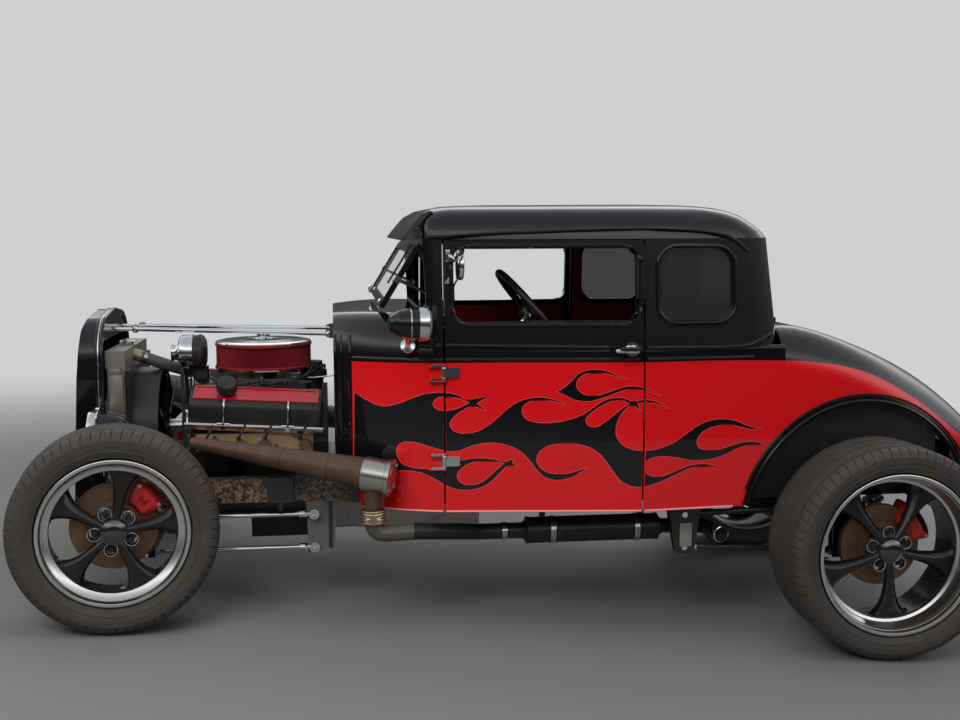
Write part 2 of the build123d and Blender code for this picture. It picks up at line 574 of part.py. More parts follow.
def shell_face(inset, low):
    """The shell's outline from the front, a rounded arch on slightly tapered sides."""
    top = SHELL_TOP - inset
    wide = SHELL_HALF - inset
    narrow = SHELL_HALF_LOW - inset
    outline = Polyline((-narrow, low), (-wide, 830), (-wide + 14, top - 34), (0, top), (wide - 14, top - 34),
                       (wide, 830), (narrow, low), close=True)
    face = make_face(outline)
    corners = [v for v in face.vertices() if v.Y > 830 + 1 and abs(v.X) > 10]
    face = fillet(corners, SHELL_CORNER - inset)
    crown = [v for v in face.vertices() if abs(v.X) < 1 and v.Y > 900]
    return fillet(crown, 300)


def shell_solid(inset, low, s0, s1):
    """The outline run back from one station to another."""
    return Pos(-s1, 0, 0) * extrude(Plane.YZ * shell_face(inset, low), amount=s1 - s0)


lean = side_plate([(-196, SHELL_LOW), (-150, 1000), (-132, SHELL_TOP + 2), (SHELL_BACK, SHELL_TOP + 2),
                   (SHELL_BACK - 12, SHELL_LOW)], -400, 400)
face_lean = side_plate([(-260, SHELL_LOW - 20), (-160, SHELL_TOP + 40), (-136, SHELL_TOP + 40),
                        (-172, SHELL_LOW - 20)], -400, 400)
shell = shell_solid(0, SHELL_LOW, -200, SHELL_BACK) & lean
hollow = shell_solid(SHELL_WALL, SHELL_LOW - 60, -300, SHELL_BACK + 60)
opening = shell_solid(44, SHELL_LOW + 34, -300, SHELL_BACK + 60)
shell = shell - (hollow - face_lean) - opening
for side in (1, -1):
    y0, y1 = sorted((side * (RADIATOR[2] - 20), side * (SHELL_HALF - 20)))
    shell += block(SHELL_BACK - 14, RADIATOR[0] - 0.3, y0, y1, 640, 780)
shell += block(SHELL_BACK - 14, SHELL_BACK - 6, -SHELL_HALF, SHELL_HALF, 960, SHELL_TOP) & shell_solid(
    4, SHELL_LOW, -200, 0)
keep("radiator_shell", shell)

BARS = 25
grille_body = (shell_solid(44.4, SHELL_LOW + 34.4, -300, SHELL_BACK) - shell_solid(58, SHELL_LOW + 48, -300, 0))
grille_zone = side_plate([(-180, SHELL_LOW + 20), (-140, SHELL_TOP), (-126, SHELL_TOP), (-166, SHELL_LOW + 20)],
                         -400, 400)
grille = grille_body & grille_zone
step = 2 * (SHELL_HALF - 58) / BARS
opening_zone = shell_solid(57, SHELL_LOW + 47, -300, 0)
for number in range(1, BARS):
    y = -(SHELL_HALF - 58) + number * step
    slat = block(-260, 0, y - 3, y + 3, SHELL_LOW + 20, SHELL_TOP) & grille_zone & opening_zone
    grille += slat
grille += block(-260, 0, -SHELL_HALF, SHELL_HALF, 690, 702) & grille_zone & opening_zone
keep("grille", grille)

braces = None
for side in (1, -1):
    bar = rod((8, side * 78, 988), (COWL_FRONT - 12, side * 130, 966), 8)
    bar += disc(14, 12, COWL_FRONT - 16, side * 130, 966) + disc(14, 12, 8, side * 78, 988)
    bar += block(COWL_FRONT - 14, COWL_FRONT - 0.3, side * 130 - 8, side * 130 + 8, 950, 982)
    bar += rod((SHELL_BACK - 5.7, side * 78, 988), (8, side * 78, 988), 7)
    braces = bar if braces is None else braces + bar
keep("support_rods", braces)

# Headlamps: bullet buckets on a bar across the frame horns

LAMP_Y = 368.0
LAMP_Z = 652.0
LAMP_R = 88.0
LAMP_FRONT = -105.0
LAMP_LONG = 140.0


def bullet(radius, length):
    """A lamp bucket that faces +X, turned from a rim, a straight run and a rounded tail."""
    outline = [(0, 0), (radius - 10, 0), (radius, -8), (radius, -26), (radius - 5, -30),
               (radius - 8, -length * 0.45), (radius * 0.74, -length * 0.72),
               (radius * 0.42, -length * 0.93), (0, -length)]
    shape = revolve(make_face(Polyline(*outline, close=True)), Axis.Y)
    return Rot(0, 0, -90) * shape


lamps = None
for side in (1, -1):
    lamp = at(bullet(LAMP_R, LAMP_LONG), LAMP_FRONT, side * LAMP_Y, LAMP_Z)
    lamp += rod((-40, side * LAMP_Y, LAMP_Z - 70), (-8, side * 300, RAIL_TOP + 14), 11)
    lamp += block(-34, 8, side * 300 - 20, side * 300 + 20, RAIL_TOP + 0.3, RAIL_TOP + 16)
    lamps = lamp if lamps is None else lamps + lamp
keep("headlamps", lamps)

# Exhaust: a flange and four stubs into a long cone, then a pipe, a muffler and a turned-out tip

PORTS_S = (262.0, 392.0, 470.0, 612.0)
CONE = ((242.0, 398.0, 622.0, 20.0), (838.0, 584.0, 534.0, 54.0))
cone_start = Vector(-CONE[0][0], CONE[0][1], CONE[0][2])
cone_end = Vector(-CONE[1][0], CONE[1][1], CONE[1][2])
cone_way = cone_end - cone_start
cone_len = cone_way.length
cone = Plane(origin=cone_start, z_dir=cone_way) * Pos(0, 0, cone_len / 2) * Cone(CONE[0][3], CONE[1][3], cone_len)
sleeve = Plane(origin=cone_end, z_dir=cone_way) * Pos(0, 0, 26) * Cylinder(CONE[1][3] + 2, 52)
cap = Plane(origin=cone_end, z_dir=cone_way) * Pos(0, 0, 60) * Cylinder(CONE[1][3] + 8, 16)
header = cone + sleeve + cap
header += at(Sphere(CONE[0][3]), *CONE[0][:3])
header += block(236, 640, PORT[0] + 0.3, PORT[0] + 10, PORT[1] - 24, PORT[1] + 36)
for s in PORTS_S:
    share = (s + 34 - CONE[0][0]) / (CONE[1][0] - CONE[0][0])
    y = CONE[0][1] + (CONE[1][1] - CONE[0][1]) * share
    z = CONE[0][2] + (CONE[1][2] - CONE[0][2]) * share
    header += tube_along([(s, PORT[0] + 6, PORT[1]), (s, PORT[0] + 50, PORT[1]), (s + 34, y, z)], 19, 24)
DROP = (838.0, 580.0, 398.0)
header += rod((DROP[0], DROP[1], CONE[1][2] - 20), DROP, 30)
header += at(Cylinder(42, 12), *DROP)
keep("headers", both(header))

PIPE_Z = 288.0
PIPE_R = 28.0
MUFFLER = (1376.0, 1850.0, 46.0)
PIPE_Y = 432.0
ELBOW_Z = 336.0
pipe = tube_along([(DROP[0], DROP[1], DROP[2] - 6), (DROP[0], DROP[1], ELBOW_Z - 6), (990, 560, ELBOW_Z - 6),
                   (1220, PIPE_Y, PIPE_Z), (MUFFLER[0] + 4, PIPE_Y, PIPE_Z)], PIPE_R, [40, 120, 120])
pipe += at(Cylinder(42, 12), DROP[0], DROP[1], DROP[2] - 12.4)
pipe += rod((MUFFLER[0], PIPE_Y, PIPE_Z), (MUFFLER[1], PIPE_Y, PIPE_Z), MUFFLER[2])
pipe += tube_along([(MUFFLER[1] - 4, PIPE_Y, PIPE_Z), (2012, PIPE_Y, PIPE_Z), (2044, 566, PIPE_Z - 4)],
                   PIPE_R - 2, 70)
for s in (MUFFLER[0] + 60, MUFFLER[1] - 60):
    pipe += block(s - 10, s + 10, PIPE_Y - 6, PIPE_Y + 6, PIPE_Z + 40, RAIL_TOP - RAIL_H - 0.5)
pipe -= rod((2040, 545, PIPE_Z - 4), (2050, 600, PIPE_Z - 4), PIPE_R - 5)
keep("exhausts", both(pipe))


# Body: outer and inner skins from cross sections, later cut into the real panels

TUCK = 16.0
TUCK_H = 240.0


def cross_face(s, half, low, top, corner, inset=0.0):
    """A body cross section with tucked-in sills and rounded upper corners."""
    wide, high = half - inset, top - inset
    tucked = min(TUCK_H, (high - low) * 0.45)
    face = make_face(Polyline(
        (-wide + TUCK, low), (-wide, low + tucked), (-wide, high), (wide, high),
        (wide, low + tucked), (wide - TUCK, low), close=True))
    corners = [v for v in face.vertices() if v.Y > high - 1]
    face = fillet(corners, max(corner - inset, 4))
    return Plane(origin=(-s, 0, 0), x_dir=(0, 1, 0), z_dir=(1, 0, 0)) * face


def skin(rows, inset, low, ruled=True):
    """A solid through cross sections, each row a station, half width, top and corner radius."""
    return loft([cross_face(s, half, low, top, corner, inset) for s, half, top, corner in rows], ruled=ruled)


def plan_face(z, front, rear, grow, corner, inset=0.0):
    """A plan section of the cab above the belt, with rounded corners at the rear."""
    a, b, c = W_DOOR_FRONT - grow - inset, W_DOOR_REAR - grow - inset, W_CAB_REAR - grow - inset
    lead = a - (DOOR_FRONT - front) * 0.10
    points = [(-front - inset, lead), (-DOOR_REAR, b), (-rear + inset, c)]
    face = make_face(Polyline(*points, *[(x, -y) for x, y in reversed(points)], close=True))
    back = [v for v in face.vertices() if v.X < -rear + inset + 1]
    face = fillet(back, corner - inset)
    nose = [v for v in face.vertices() if v.X > -front - inset - 1]
    return Pos(0, 0, z) * fillet(nose, 36)


# Stations of the cowl and the tail: station, half width, top height and upper corner radius
COWL_ROWS = [(COWL_FRONT, W_COWL, COWL_TOP_Z, 150.0), (890.0, 520.0, 1060.0, 150.0),
             (DOOR_FRONT - 3, W_DOOR_FRONT, 1050.0, 130.0)]
DOOR_ROWS = [(DOOR_FRONT - 3, W_DOOR_FRONT, BELT_Z + 20, 12.0), (DOOR_REAR, W_DOOR_REAR, BELT_Z + 20, 12.0),
             (CAB_REAR, W_CAB_REAR, BELT_Z + 20, 12.0)]
TAIL_LONG = TAIL_END - CAB_REAR
TAIL_ROWS = [(CAB_REAR - 8, W_CAB_REAR, 1002.0, 120.0), (CAB_REAR + 0.230 * TAIL_LONG, 612.0, 974.0, 150.0),
             (CAB_REAR + 0.479 * TAIL_LONG, 586.0, 894.0, 170.0), (CAB_REAR + 0.716 * TAIL_LONG, 560.0, 786.0, 180.0),
             (CAB_REAR + 0.882 * TAIL_LONG, 540.0, 660.0, 120.0),
             (TAIL_END, W_TAIL, 520.0, 40.0)]
GLASSHOUSE = [(BELT_Z, 1032.0, CAB_REAR, 0.0, 110.0), (RAIL_Z, 1014.0, CAB_REAR - 34, TUMBLEHOME, 120.0)]
ROOF = [(RAIL_Z - 2, 1014.0, CAB_REAR - 34, TUMBLEHOME, 120.0), (1352.0, 1016.0, CAB_REAR - 78, 44.0, 130.0),
        (1392.0, 1022.0, CAB_REAR - 128, 76.0, 140.0), (ROOF_Z, 1056.0, CAB_REAR - 226, 170.0, 150.0)]


def cab(inset, low):
    """The cab's solid shape, as the outer skin or the inner one by its inset."""
    lower = skin([(s, half, top + inset, corner + inset) for s, half, top, corner in DOOR_ROWS], inset, low)
    house = loft([plan_face(z, f, r, g, c, inset) for z, f, r, g, c in GLASSHOUSE], ruled=True)
    return lower + house


def roof_solid(inset):
    """The crowned roof, lowered by the wall for the inner skin."""
    faces = [plan_face(z - inset * (n > 0), f, r, g, c, inset) for n, (z, f, r, g, c) in enumerate(ROOF)]
    return loft(faces, ruled=True)


cowl_shape = skin(COWL_ROWS, 0, SILL_Z, ruled=False)
cowl_inner = skin([(COWL_FRONT - 20, W_COWL, COWL_TOP_Z, 150.0), *COWL_ROWS[1:-1],
                   (DOOR_FRONT + 20, W_DOOR_FRONT + 8, 1050.0, 130.0)], WALL * 0.6, SILL_Z - 40, ruled=False)
cab_outer = cab(0, SILL_Z)
cab_inner = cab(WALL, SILL_Z - 40)
cab_door_inner = cab(DOOR_WALL, SILL_Z - 40)
tail_outer = skin(TAIL_ROWS, 0, SILL_Z, ruled=False)
tail_inner = skin([(CAB_REAR - 60, W_CAB_REAR, 1002.0, 120.0), *TAIL_ROWS[1:-1],
                   (TAIL_END - WALL, W_TAIL + 6, 545.0, 48.0)], WALL * 0.8, SILL_Z - 40, ruled=False)

# Windows and the cuts that part the panels
HINGE_S = DOOR_FRONT - 4
HINGE_Y = W_DOOR_FRONT + 14
DOOR_REACH = DOOR_REAR - PANEL_GAP - HINGE_S
door_windows = rounded_prism(*DOOR_WINDOW, *WINDOW_Z, WINDOW_CORNER, -900, 900)
quarter_windows = rounded_prism(*QUARTER_WINDOW, *WINDOW_Z, 60, -900, 900)
back_window_face = Pos(0, BACK_WINDOW_Z) * RectangleRounded(*BACK_WINDOW, 70)
back_window = Pos(-CAB_REAR - 60, 0, 0) * extrude(Plane.YZ * back_window_face, amount=200)
SCREEN = (1290.0, 1062.0)
screen_cut = block(DOOR_FRONT - 100, DOOR_FRONT - 18, -W_DOOR_FRONT + 76, W_DOOR_FRONT - 76, SCREEN[1], SCREEN[0])


def door_zone(reach, front, low, high):
    """The side region of a left door, its rear edge an arc about the hinge."""
    zone = at(Cylinder(reach, high - low), HINGE_S, HINGE_Y, (low + high) / 2)
    return zone & block(front, DOOR_REAR + 50, 300, 900, low, high)


door_cut = door_zone(DOOR_REACH + PANEL_GAP, DOOR_FRONT - 3, SILL_Z - 60, RAIL_Z)
door_skin = cab_outer - cab_door_inner - door_windows
left_door = door_skin & door_zone(DOOR_REACH, DOOR_FRONT + 3, SILL_Z - 20, RAIL_Z - PANEL_GAP)

# Door furniture: hinge leaves, the handle and the peep mirror on the upper hinge
HINGES_Z = (575.0, 872.0)
for z in HINGES_Z:
    left_door += at(Cylinder(7, 34), HINGE_S, HINGE_Y, z)
    left_door += block(HINGE_S, HINGE_S + 52, HINGE_Y - 9, HINGE_Y, z - 17, z + 17)
    left_door += block(HINGE_S + 14, HINGE_S + 52, W_DOOR_FRONT - 8, HINGE_Y - 5, z - 17, z + 17)
HANDLE = (DOOR_REAR - 102, DOOR_REAR + 2, 947.0)
handle_y = W_DOOR_REAR + 34
handle = rod((HANDLE[0], handle_y, HANDLE[2]), (HANDLE[1] - 34, handle_y, HANDLE[2]), 9)
handle += rod((HANDLE[1] - 52, handle_y, HANDLE[2]), (HANDLE[1] - 52, W_DOOR_REAR - 14, HANDLE[2]), 10)
handle += disc(22, 8, HANDLE[1] - 52, W_DOOR_REAR - 1, HANDLE[2])
left_door += handle
MIRROR = (DOOR_FRONT + 42, W_DOOR_FRONT + 96, 1228.0, 46.0)
left_door += rod((DOOR_FRONT + 14, W_DOOR_FRONT - 40, 1256), (DOOR_FRONT + 14, MIRROR[1] - 40, 1256), 6)
left_door += rod((DOOR_FRONT + 14, MIRROR[1] - 42, 1256), (MIRROR[0], MIRROR[1], MIRROR[2] + 10), 6)
left_door += rod((MIRROR[0] - 9, MIRROR[1], MIRROR[2]), (MIRROR[0] + 9, MIRROR[1], MIRROR[2]), MIRROR[3])
for side, name in ((1, "left"), (-1, "right")):
    keep(f"door_{name}", left_door if side > 0 else mirror(left_door, about=Plane.XZ))

# Cowl with its windshield posts, hood ledge and the fixed hinge leaves
posts = (cab_outer - cab_inner) & block(1000, DOOR_FRONT - 3, -900, 900, BELT_Z - 20, RAIL_Z - 2)
cowl = cowl_shape - cowl_inner
cowl += posts - screen_cut - cowl_inner
cowl -= block(600, DOOR_FRONT, -330, 330, SILL_Z - 60, 640)
arch_way = block(600, 800, -900, 900, SILL_Z - 60, 475)
cowl -= arch_way
for side in (1, -1):
    for z in HINGES_Z:
        for lift in (24.0, -24.0):
            cowl += at(Cylinder(7, 12), HINGE_S, side * HINGE_Y, z + lift)
            y0, y1 = sorted((side * (W_DOOR_FRONT - 14), side * HINGE_Y))
            cowl += block(HINGE_S - 50, HINGE_S, y0, y1, z + lift - 6, z + lift + 6)
keep("cowl", cowl)

# Roof with the drip rail and the visor
roof = roof_solid(0) - roof_solid(WALL)
drip = plan_face(RAIL_Z + 4, 1040, CAB_REAR - 150, TUMBLEHOME - 9, 60) - plan_face(
    RAIL_Z + 4, 1050, CAB_REAR - 140, TUMBLEHOME + 8, 60)
roof += extrude(drip, amount=9, dir=(0, 0, 1)) & block(DOOR_FRONT + 20, CAB_REAR - 138, -900, 900, RAIL_Z, RAIL_Z + 40)
visor = side_plate([(949, 1306), (949, 1316), (1024, 1352), (1024, 1330)], -536, 536)
roof += visor - roof_solid(WALL)
keep("roof_panel", roof)

# Rear body: quarters, back panel and tail in one pressing, with the arches and the lid opening cut
LID_S = CAB_REAR + 32
LID_HALF = 440.0
LID_REACH = 640.0
LID_GAP = 7.0
lid_axis_z = 1012.0
arches = disc(ARCH_R, 2400, ARCH_S, 0, ARCH_Z)
rear = (cab_outer - cab_inner) & block(DOOR_REAR - 60, CAB_REAR + 20, -900, 900, SILL_Z - 20, RAIL_Z - 2)
rear -= block(CAB_REAR - 80, CAB_REAR + 100, -W_CAB_REAR + 60, W_CAB_REAR - 60, SILL_Z - 40, 560)
tail = tail_outer - tail_inner
tail -= block(CAB_REAR - 120, CAB_REAR - 1, -W_CAB_REAR + WALL, W_CAB_REAR - WALL, SILL_Z - 40, RAIL_Z)
rear += tail
rear = rear - quarter_windows - back_window - arches
for side in (1, -1):
    rear -= door_cut if side > 0 else mirror(door_cut, about=Plane.XZ)
lid_open_zone = disc(LID_REACH + LID_GAP, 2 * (LID_HALF + LID_GAP), LID_S, 0, lid_axis_z)
lid_open_zone &= block(LID_S + 2, TAIL_END, -900, 900, 560, 1100)
rear -= lid_open_zone
keep("rear_body", rear)

lid_zone = disc(LID_REACH, 2 * LID_HALF, LID_S, 0, lid_axis_z)
lid_zone &= block(LID_S + 8, TAIL_END, -900, 900, 560, 1100)
lid = (tail_outer - tail_inner) & lid_zone
for y in (-300, 300):
    lid += rod((LID_S, y - 22, lid_axis_z), (LID_S, y + 22, lid_axis_z), 6)
    lid += side_plate([(LID_S - 4, lid_axis_z - 4), (LID_S + 2, lid_axis_z + 6), (LID_S + 50, lid_axis_z - 10),
                       (LID_S + 50, 984), (LID_S + 12, 984), (LID_S + 12, lid_axis_z - 6)], y - 18, y + 18)
keep("deck_lid", lid)

# Wheel tubs, open to the road, with the inner wall beside the frame
TUB_IN = 545.0
TUB_T = 4.0
tub = disc(ARCH_R + TUB_T, 60, ARCH_S, TUB_IN + 22, ARCH_Z) - disc(ARCH_R, 60, ARCH_S, TUB_IN + 22 + TUB_T, ARCH_Z)
tub &= block(ARCH_S - 500, ARCH_S + 500, 0, 900, SILL_Z + 4, 900)
tub &= tail_inner + cab_inner
keep("wheel_tubs", both(tub))

# Firewall, floor and dash
firewall = cross_face(COWL_FRONT, W_COWL, RAIL_TOP + 2, COWL_TOP_Z, 150, 20)
firewall = Pos(-9, 0, 0) * extrude(firewall, amount=8, dir=(1, 0, 0))
firewall -= block(700, 760, -158, 158, 400, 560)
keep("firewall", firewall)

FLOOR_Z = RAIL_TOP + 1
floor_plan = [(760, 300), (1060, 505), (DOOR_REAR, 560), (KICK_S - 110, 530)]
floor = extrude(make_face(Polyline(*[(-s, y) for s, y in floor_plan],
                                   *[(-s, -y) for s, y in reversed(floor_plan)], close=True)), amount=12)
floor = Pos(0, 0, FLOOR_Z) * floor
tunnel = across([(-195, FLOOR_Z), (195, FLOOR_Z), (175, 590), (-175, 590)], 728, 1300)
bore = across([(-185, FLOOR_Z - 20), (185, FLOOR_Z - 20), (164, 579), (-164, 579)], 700, 1310)
floor = floor + tunnel - bore
floor += block(KICK_S - 122, KICK_S - 110, -520, 520, FLOOR_Z, BELT_Z)
wings = block(DOOR_REAR + 60, KICK_S - 120, -700, 700, FLOOR_Z, FLOOR_Z + 12)
wings += block(COWL_FRONT + 60, DOOR_FRONT - 60, -700, 700, FLOOR_Z, FLOOR_Z + 12)
floor += wings & cab(WALL + RUNNING_GAP, SILL_Z - 40)
for s in (1180, 1560, 1940):
    for side in (1, -1):
        floor += at(Box(60, 30, FLOOR_Z - RAIL_TOP + 2), s, side * RAIL_Y_REAR, (RAIL_TOP + FLOOR_Z + 2) / 2)
keep("floor_pan", floor)

dash_face = [(1056, 1012), (1056, 880), (1076, 880), (1110, 930), (1110, 990), (1090, 1012)]
dash = side_plate(dash_face, -W_DOOR_FRONT + 76, W_DOOR_FRONT - 76)
keep("dash", dash)

# Glass: quarter and back windows, and the windshield swung out on its top hinge
GLASS_SET = 12.0
pane_zone = rounded_prism(QUARTER_WINDOW[0] + 1, QUARTER_WINDOW[1] - 1, WINDOW_Z[0] + 1, WINDOW_Z[1] - 1, 59, -900, 900)
pane = cab(GLASS_SET, SILL_Z) - cab(GLASS_SET + GLASS_T, SILL_Z)
panes = pane & pane_zone & block(QUARTER_WINDOW[0] - 92, QUARTER_WINDOW[1] + 50, -900, 900, 900, 1300)
back_pane_face = Pos(0, BACK_WINDOW_Z) * RectangleRounded(BACK_WINDOW[0] - 2, BACK_WINDOW[1] - 2, 69)
back_zone = Pos(-CAB_REAR - 60, 0, 0) * extrude(Plane.YZ * back_pane_face, amount=200)
keep("rear_glass", panes + (pane & back_zone))

SWING = ((1000.0, 1284.0), (878.0, 1084.0))
SCREEN_HALF = W_DOOR_FRONT - 80
swing_len = hypot(SWING[0][0] - SWING[1][0], SWING[0][1] - SWING[1][1])
swing_turn = degrees(atan2(SWING[0][0] - SWING[1][0], SWING[0][1] - SWING[1][1]))
frame_face = Rectangle(2 * SCREEN_HALF, swing_len) - Rectangle(2 * SCREEN_HALF - 56, swing_len - 52)
swing_at = Pos(-(SWING[0][0] + SWING[1][0]) / 2, 0, (SWING[0][1] + SWING[1][1]) / 2) * Rot(0, -swing_turn, 0)
screen_frame = swing_at * Pos(9, 0, 0) * extrude(Plane.YZ * frame_face, amount=-18)
screen_frame += rod((SWING[0][0] + 4, -SCREEN_HALF, SWING[0][1] + 4), (SWING[0][0] + 4, SCREEN_HALF, SWING[0][1] + 4), 7)
for side in (1, -1):
    arm = rod((934, side * (SCREEN_HALF - 8), 1176), (1048, side * (SCREEN_HALF - 1.4), 1120), 5)
    screen_frame += arm
keep("windshield_frame", screen_frame)
screen_glass = swing_at * Pos(3, 0, 0) * extrude(
    Plane.YZ * Rectangle(2 * SCREEN_HALF - 56.6, swing_len - 52.6), amount=-6)
keep("windshield_glass", screen_glass)

# Cabin: bench seat, column and wheel
SEAT_HALF = W_DOOR_FRONT - 85
cushion = side_plate([(1560, FLOOR_Z + 60), (1540, 640), (1580, 690), (1960, 660), (1990, FLOOR_Z + 60)],
                     -SEAT_HALF, SEAT_HALF)
backrest = side_plate([(1960, 660 + RUNNING_GAP), (1975, 700), (2030, 1040), (2070, 1060), (2110, 1040), (2092, 660 + RUNNING_GAP)],
                      -SEAT_HALF, SEAT_HALF)
riser = side_plate([(1600, FLOOR_Z + 12), (1600, FLOOR_Z + 60), (1980, FLOOR_Z + 60), (1980, FLOOR_Z + 12)],
                   -SEAT_HALF + 40, SEAT_HALF - 40)
keep("seat", fillet((cushion + riser).edges().filter_by(Axis.Y).group_by(Axis.Z)[-1], 18) + backrest)

WHEEL_AT = (1420.0, 330.0, 1046.0)
WHEEL_R = 186.0
GRIP_R = 13.0
COLUMN_LEAN = 40.0
way_s, way_z = cos(radians(COLUMN_LEAN)), sin(radians(COLUMN_LEAN))
wheel_plane = Plane(origin=(-WHEEL_AT[0], WHEEL_AT[1], WHEEL_AT[2]), x_dir=(0, 1, 0), z_dir=(-way_s, 0, way_z))
hand_wheel = wheel_plane * Torus(WHEEL_R, GRIP_R)
hand_wheel += wheel_plane * Pos(0, 0, -28) * Cylinder(34, 30)
for number in range(3):
    hand_wheel += wheel_plane * Rot(0, 0, 90 + number * 120) * Pos(WHEEL_R / 2 + 8, 0, -14) * Rot(
        0, -9, 0) * Box(WHEEL_R - 14, 26, 5)
keep("steering_wheel", hand_wheel)
column_low = (WHEEL_AT[0] - 560 * way_s, WHEEL_AT[1], WHEEL_AT[2] - 560 * way_z)
column_high = (WHEEL_AT[0] - 44 * way_s, WHEEL_AT[1], WHEEL_AT[2] - 44 * way_z)
column = rod(column_high, column_low, 22) + rod(column_low, (740, 330, 560), 10)
column += block(1058, 1074, 318, 342, 750, 880)
column += rod((746, 330, 558), (COWL_FRONT + 9 + RUNNING_GAP, 330, 558), 16)
keep("steering_column", column)

# Lamp on the cowl, tail lamps and the plate bracket
COWL_LAMP = (888.0, 656.0, 1041.0, 58.0, 138.0)
lamp = Rot(0, 0, 180) * bullet(COWL_LAMP[3], COWL_LAMP[4])
cowl_lamp = at(lamp, COWL_LAMP[0] + COWL_LAMP[4], COWL_LAMP[1], COWL_LAMP[2])
cowl_lamp += rod((960, 640, 1000), (960, 520, 930), 9)
keep("cowl_lamp", cowl_lamp - cowl_shape - cowl_inner)

TAIL_LAMP = (430.0, 470.0, 48.0)
tail_lamps = None
for side in (1, -1):
    lens = rod((TAIL_END - 60, side * TAIL_LAMP[0], TAIL_LAMP[1]), (TAIL_END + 26, side * TAIL_LAMP[0],
                                                                       TAIL_LAMP[1]), TAIL_LAMP[2])
    lens += rod((TAIL_END + 26, side * TAIL_LAMP[0], TAIL_LAMP[1]),
                (TAIL_END + 34, side * TAIL_LAMP[0], TAIL_LAMP[1]), TAIL_LAMP[2] - 10)
    lens -= tail_outer
    tail_lamps = lens if tail_lamps is None else tail_lamps + lens
keep("tail_lamps", tail_lamps)

PLATE = (305.0, 152.0, 2.0)
PLATE_Z = 330.0
PLATE_HOLES = 177.8
PLATE_BOLT_R = 3.6
plate_s = TAIL_END - 40
bracket = Box(4, PLATE[0], PLATE[1])
for y in (-PLATE_HOLES / 2, PLATE_HOLES / 2):
    bracket -= Pos(0, y, PLATE[1] / 2 - 18) * Rot(0, 90, 0) * Cylinder(PLATE_BOLT_R, 20)
bracket = Pos(-plate_s, 0, PLATE_Z) * Rot(0, -RAKE, 0) * bracket
for y in (-60, 60):
    bracket += block(FRAME_END - 20, plate_s + 3, y - 10, y + 10, PLATE_Z + 40, PLATE_Z + 52)
    bracket += block(FRAME_END - 20, FRAME_END - 10, y - 10, y + 10, PLATE_Z + 40, RAIL_TOP - 20.3)
keep("plate_bracket", bracket)

box_s = (480.0, 570.0)
box_side = RAIL_Y_FRONT + RAIL_W / 2 + 15
steering_box = block(*box_s, box_side, box_side + 56, 404, 492)
steering_box += rod((box_s[1] - 4, box_side + 22, 462), (712, 330, 553), 9)
steering_box += rod((525, box_side + 46, 376), (525, box_side + 46, 406), 10)
steering_box += block(505, 545, box_side - 6, box_side + 1, 410, 470)
keep("steering_box", steering_box)

# Stance: the level model is tipped nose down until both axles stand on the ground
tilt = Rot(0, RAKE, 0)
tipped = [tilt * shape for shape in PARTS.values()]
boxes = [shape.bounding_box() for shape in tipped]
low = [min(getattr(b.min, axis) for b in boxes) for axis in "XYZ"]
high = [max(getattr(b.max, axis) for b in boxes) for axis in "XYZ"]
stance = Pos(-(low[0] + high[0]) / 2, -(low[1] + high[1]) / 2, -low[2]) * tilt


def where(s, y, z):
    """A place of the level model, as the parked car has it, rounded for the record."""
    point = (stance * Pos(-s, y, z)).position
    return [round(value, 3) for value in point]


os.makedirs("parts", exist_ok=True)
for name, shape in PARTS.items():
    export_step(Compound([stance * solid for solid in shape.solids()]) if len(shape.solids()) > 1
                else stance * shape.solids()[0], f"parts/{name}.step")
print("nodes", len(PARTS), "rake", round(RAKE, 3), "box", low, high)
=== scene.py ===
"""The looks of a chopped, fenderless hot rod coupe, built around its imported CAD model, in metres.

Places on the car are given level, as s rearward from the front hubs, y to its left and z up;
stance tips them nose down the way the car stands on its tyres.
"""
from math import atan2, cos, pi, radians, sin

import bmesh
import bpy
from mathutils import Matrix, Vector
from mathutils.bvhtree import BVHTree


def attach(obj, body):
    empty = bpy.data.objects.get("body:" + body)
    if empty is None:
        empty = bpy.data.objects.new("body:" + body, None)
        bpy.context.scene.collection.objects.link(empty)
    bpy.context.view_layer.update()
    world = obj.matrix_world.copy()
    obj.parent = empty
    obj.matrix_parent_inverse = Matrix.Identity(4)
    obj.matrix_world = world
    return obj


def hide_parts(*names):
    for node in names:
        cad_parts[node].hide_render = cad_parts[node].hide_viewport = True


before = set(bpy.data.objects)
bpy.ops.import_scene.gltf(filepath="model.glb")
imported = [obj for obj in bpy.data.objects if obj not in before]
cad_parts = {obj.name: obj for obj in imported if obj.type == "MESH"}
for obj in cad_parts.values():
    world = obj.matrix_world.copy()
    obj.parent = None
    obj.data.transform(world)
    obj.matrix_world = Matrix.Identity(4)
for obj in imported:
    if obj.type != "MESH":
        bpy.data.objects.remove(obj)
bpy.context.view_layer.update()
WHEELBASE, DROP = 2.561, 0.169
stance = Matrix.Translation((1.353646, 0, -0.069803)) @ Matrix.Rotation(atan2(DROP, WHEELBASE), 4, "Y")

# Camera, level with the roof on the car's left side, fitted to the photograph's rims and windows.
yaw, pitch, roll = radians(6.92), radians(6.34), radians(-0.21)
ahead = Vector((-sin(yaw) * cos(pitch), -cos(yaw) * cos(pitch), -sin(pitch)))
across = Vector((-cos(yaw), sin(yaw), 0))
above = across.cross(ahead)
turned = Matrix((across * cos(roll) + above * sin(roll), above * cos(roll) - across * sin(roll),
    -ahead)).transposed()
camera = bpy.data.objects.new("camera", bpy.data.cameras.new("camera"))
camera.data.lens = 45
camera.data.sensor_width = 36
camera.matrix_world = stance @ Matrix.Translation((-0.72192, 4.51768, 1.35062)) @ turned.to_4x4()
bpy.context.collection.objects.link(camera)
bpy.context.scene.camera = camera
bpy.context.scene.view_settings.view_transform = "Standard"

